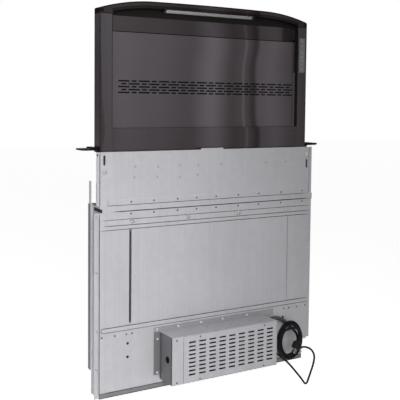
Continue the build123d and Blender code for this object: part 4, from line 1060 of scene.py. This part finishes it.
# Black bead rolled round the hood's front edge, and a moulded plug on each of its round corners
edge_x = np.linspace(-0.3285, 0.3285, 121)
edge_line = np.stack([edge_x, np.full(121, post_front + 0.0010), arch_height(edge_x) - 0.0018], axis=1)
hood_parts = [tube_along(edge_line, np.full(121, 0.0017), 12)]
corner_middle_z = 0.3565
corner_spin = full_turn(32)
corner_at = np.array([0.0, 0.0004, 0.0012, 0.0365, 0.0373, 0.0377])
corner_draw = 0.0055 - np.array([0.0012, 0.0004, 0.0, 0.0, 0.0004, 0.0012])
for side in (-1, 1):
    plug_points = np.zeros((6, 32, 3))
    plug_points[..., 0] = side * (post_side - 0.0052) + corner_draw[:, None] * np.cos(corner_spin)
    plug_points[..., 1] = post_front - 0.0002 + corner_at[:, None]
    plug_points[..., 2] = corner_middle_z + corner_draw[:, None] * np.sin(corner_spin)
    hood_parts.append((plug_points, tube_faces(6, 32)))
piece_from("hood_edging", hood_parts, black_and_painted_shade, "riser")

# ------------------------------------------------------------------ work light
# Slanted black bar under the arch with a frosted lens, whose face is ribbed,
# and a strip of LEDs behind it. It is off.
light_middle = np.array([0.0, -0.0185, 0.366])
light_lean = math.radians(50.0)
light_out = np.array([0.0, -math.sin(light_lean), -math.cos(light_lean)])
light_across = np.array([0.0, math.cos(light_lean), -math.sin(light_lean)])
light_half, light_high = 0.1390, 0.0100
softened("light_housing", 0.0003, nylon_black, body="riser")
softened("led_board", 0.0002, solder_green, body="riser")

# Lens: u along the bar, w across it; its crown is 0.6 mm (1 - w^4) (1 - u^40), with fine ribs across w
lens_u, lens_w = np.meshgrid(np.linspace(-1, 1, 121), np.linspace(-1, 1, 33), indexing="ij")
crown_rise = 0.0006 * (1 - lens_w ** 4) * (1 - lens_u ** 40) + 0.00008 * np.cos(lens_w * 30)
lens_top = (light_middle + (lens_u * (light_half - 0.0002))[..., None] * np.array([1.0, 0, 0])
            + (lens_w * (light_high - 0.0004) / 2)[..., None] * light_across
            + (crown_rise - 0.0002)[..., None] * light_out)
lens_foot = lens_top - (crown_rise + 0.0008)[..., None] * light_out
lens_frosted = finish_of(
    "lens_frosted", [(0.44, 0.44, 0.435), (0.54, 0.54, 0.535)], 0.0, (0.35, 0.50), (30, 300, 300), 12)
lens = piece_from("lens_ribbed", [closed_sheet(lens_top, lens_foot)], lens_frosted, "riser")
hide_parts("light_lens")

# ------------------------------------------------------------------ slotted panel
# The riser's removable front: coated stainless with rows of punched slots, held
# by magnets at its corners.
# Its back faces and slot walls are drawn near black: painted shade
softened("slotted_panel", 0.0001, panel_black, body="panel", second=[
    (recess_painted_shade, lambda x, y, z: y > panel_front + 0.0001)])
softened("panel_magnets", 0.0005, nylon_black, body="panel")

# ------------------------------------------------------------------ filters
# Two flat frames that hold pleated metal mesh, drawn near black as painted shade behind the slots. Each is a
# sheet whose front waves in two directions.
filter_front, filter_back = -0.0097, -0.0017
filter_low, filter_high = 0.0560, 0.3000
pleat_pitch = 0.010
# Near black mesh: painted shade behind the slots
mesh_painted_shade = finish_of("mesh_painted_shade", [0.002, 0.007], 0.0, (0.60, 0.80), 1100, 60, bump=0.0004, bump_grain=900)


def pleated(x, z):
    """Waves of two directions that cross like woven mesh, fading to the frame's face at the rim."""
    across, along = np.minimum(x - x.min(), x.max() - x), np.minimum(z - filter_low, filter_high - z)
    rim = ease(across / 0.004 - 2.0) * ease(along / 0.004 - 2.0)
    wave = np.sin(x * 2 * math.pi / pleat_pitch) * 0.5 + np.sin(z * 2 * math.pi / pleat_pitch) * 0.5
    return filter_front + rim * (0.0012 + 0.0006 * wave)


filter_pieces = [
    pressed_sheet("filter_" + word, np.linspace(near, far, 124), np.linspace(filter_low, filter_high, 100),
                  pleated, filter_back - filter_front - 0.0020, mesh_painted_shade, "riser")
    for word, near, far in (("left", -0.2980, -0.0020), ("right", 0.0020, 0.2980))]
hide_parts("mesh_filters")

# ------------------------------------------------------------------ touch strip
# Smoked glass strip on the right post with seven plain printed marks and its
# board behind it. The marks are rings and short bars by turns.
glass_smoked = finish_of(
    "glass_smoked", [(0.230, 0.222, 0.226), (0.280, 0.272, 0.276)], 0.0, (0.10, 0.18), 30, 14)
softened("control_strip", 0.0003, glass_smoked, body="riser")
softened("touch_board", 0.0002, solder_green, body="riser")
strip_face, mark_middle = -0.0278, 0.3155
mark_heights = np.array([310.8, 293.7, 275.2, 262.5, 251.6, 241.8, 225.2]) / 1000
mark_ring = [(0.0022, 0.0), (0.0030, 0.0), (0.0030, 0.0002), (0.0022, 0.0002)]
marks = [turned_ring(mark_ring, (mark_middle, strip_face, z)) for z in mark_heights[::2]]
marks += [moulded_block((mark_middle - 0.0030, strip_face - 0.0002, z - 0.0008),
                        (mark_middle + 0.0030, strip_face, z + 0.0008), 0.0006, edge=0.00005)
          for z in mark_heights[1::2]]
print_pale = finish_of("print_pale", [0.62, 0.74], 0.0, (0.4, 0.5), 400, 80)
piece_from("strip_marks", marks, print_pale, "riser")

# ------------------------------------------------------------------ counter flange
# Black enamelled frame that lies on the counter round the riser, with a raised
# step at each end and small angles under it.
softened("counter_flange", 0.0006, enamel_black, segments=3)
piece_from("flange_end_pad", [moulded_block((0.3480, -0.0266, 0.0012), (0.3796, 0.0266, 0.0062), 0.0010)],
           enamel_black)
softened("flange_brackets", 0.0004, enamel_black)
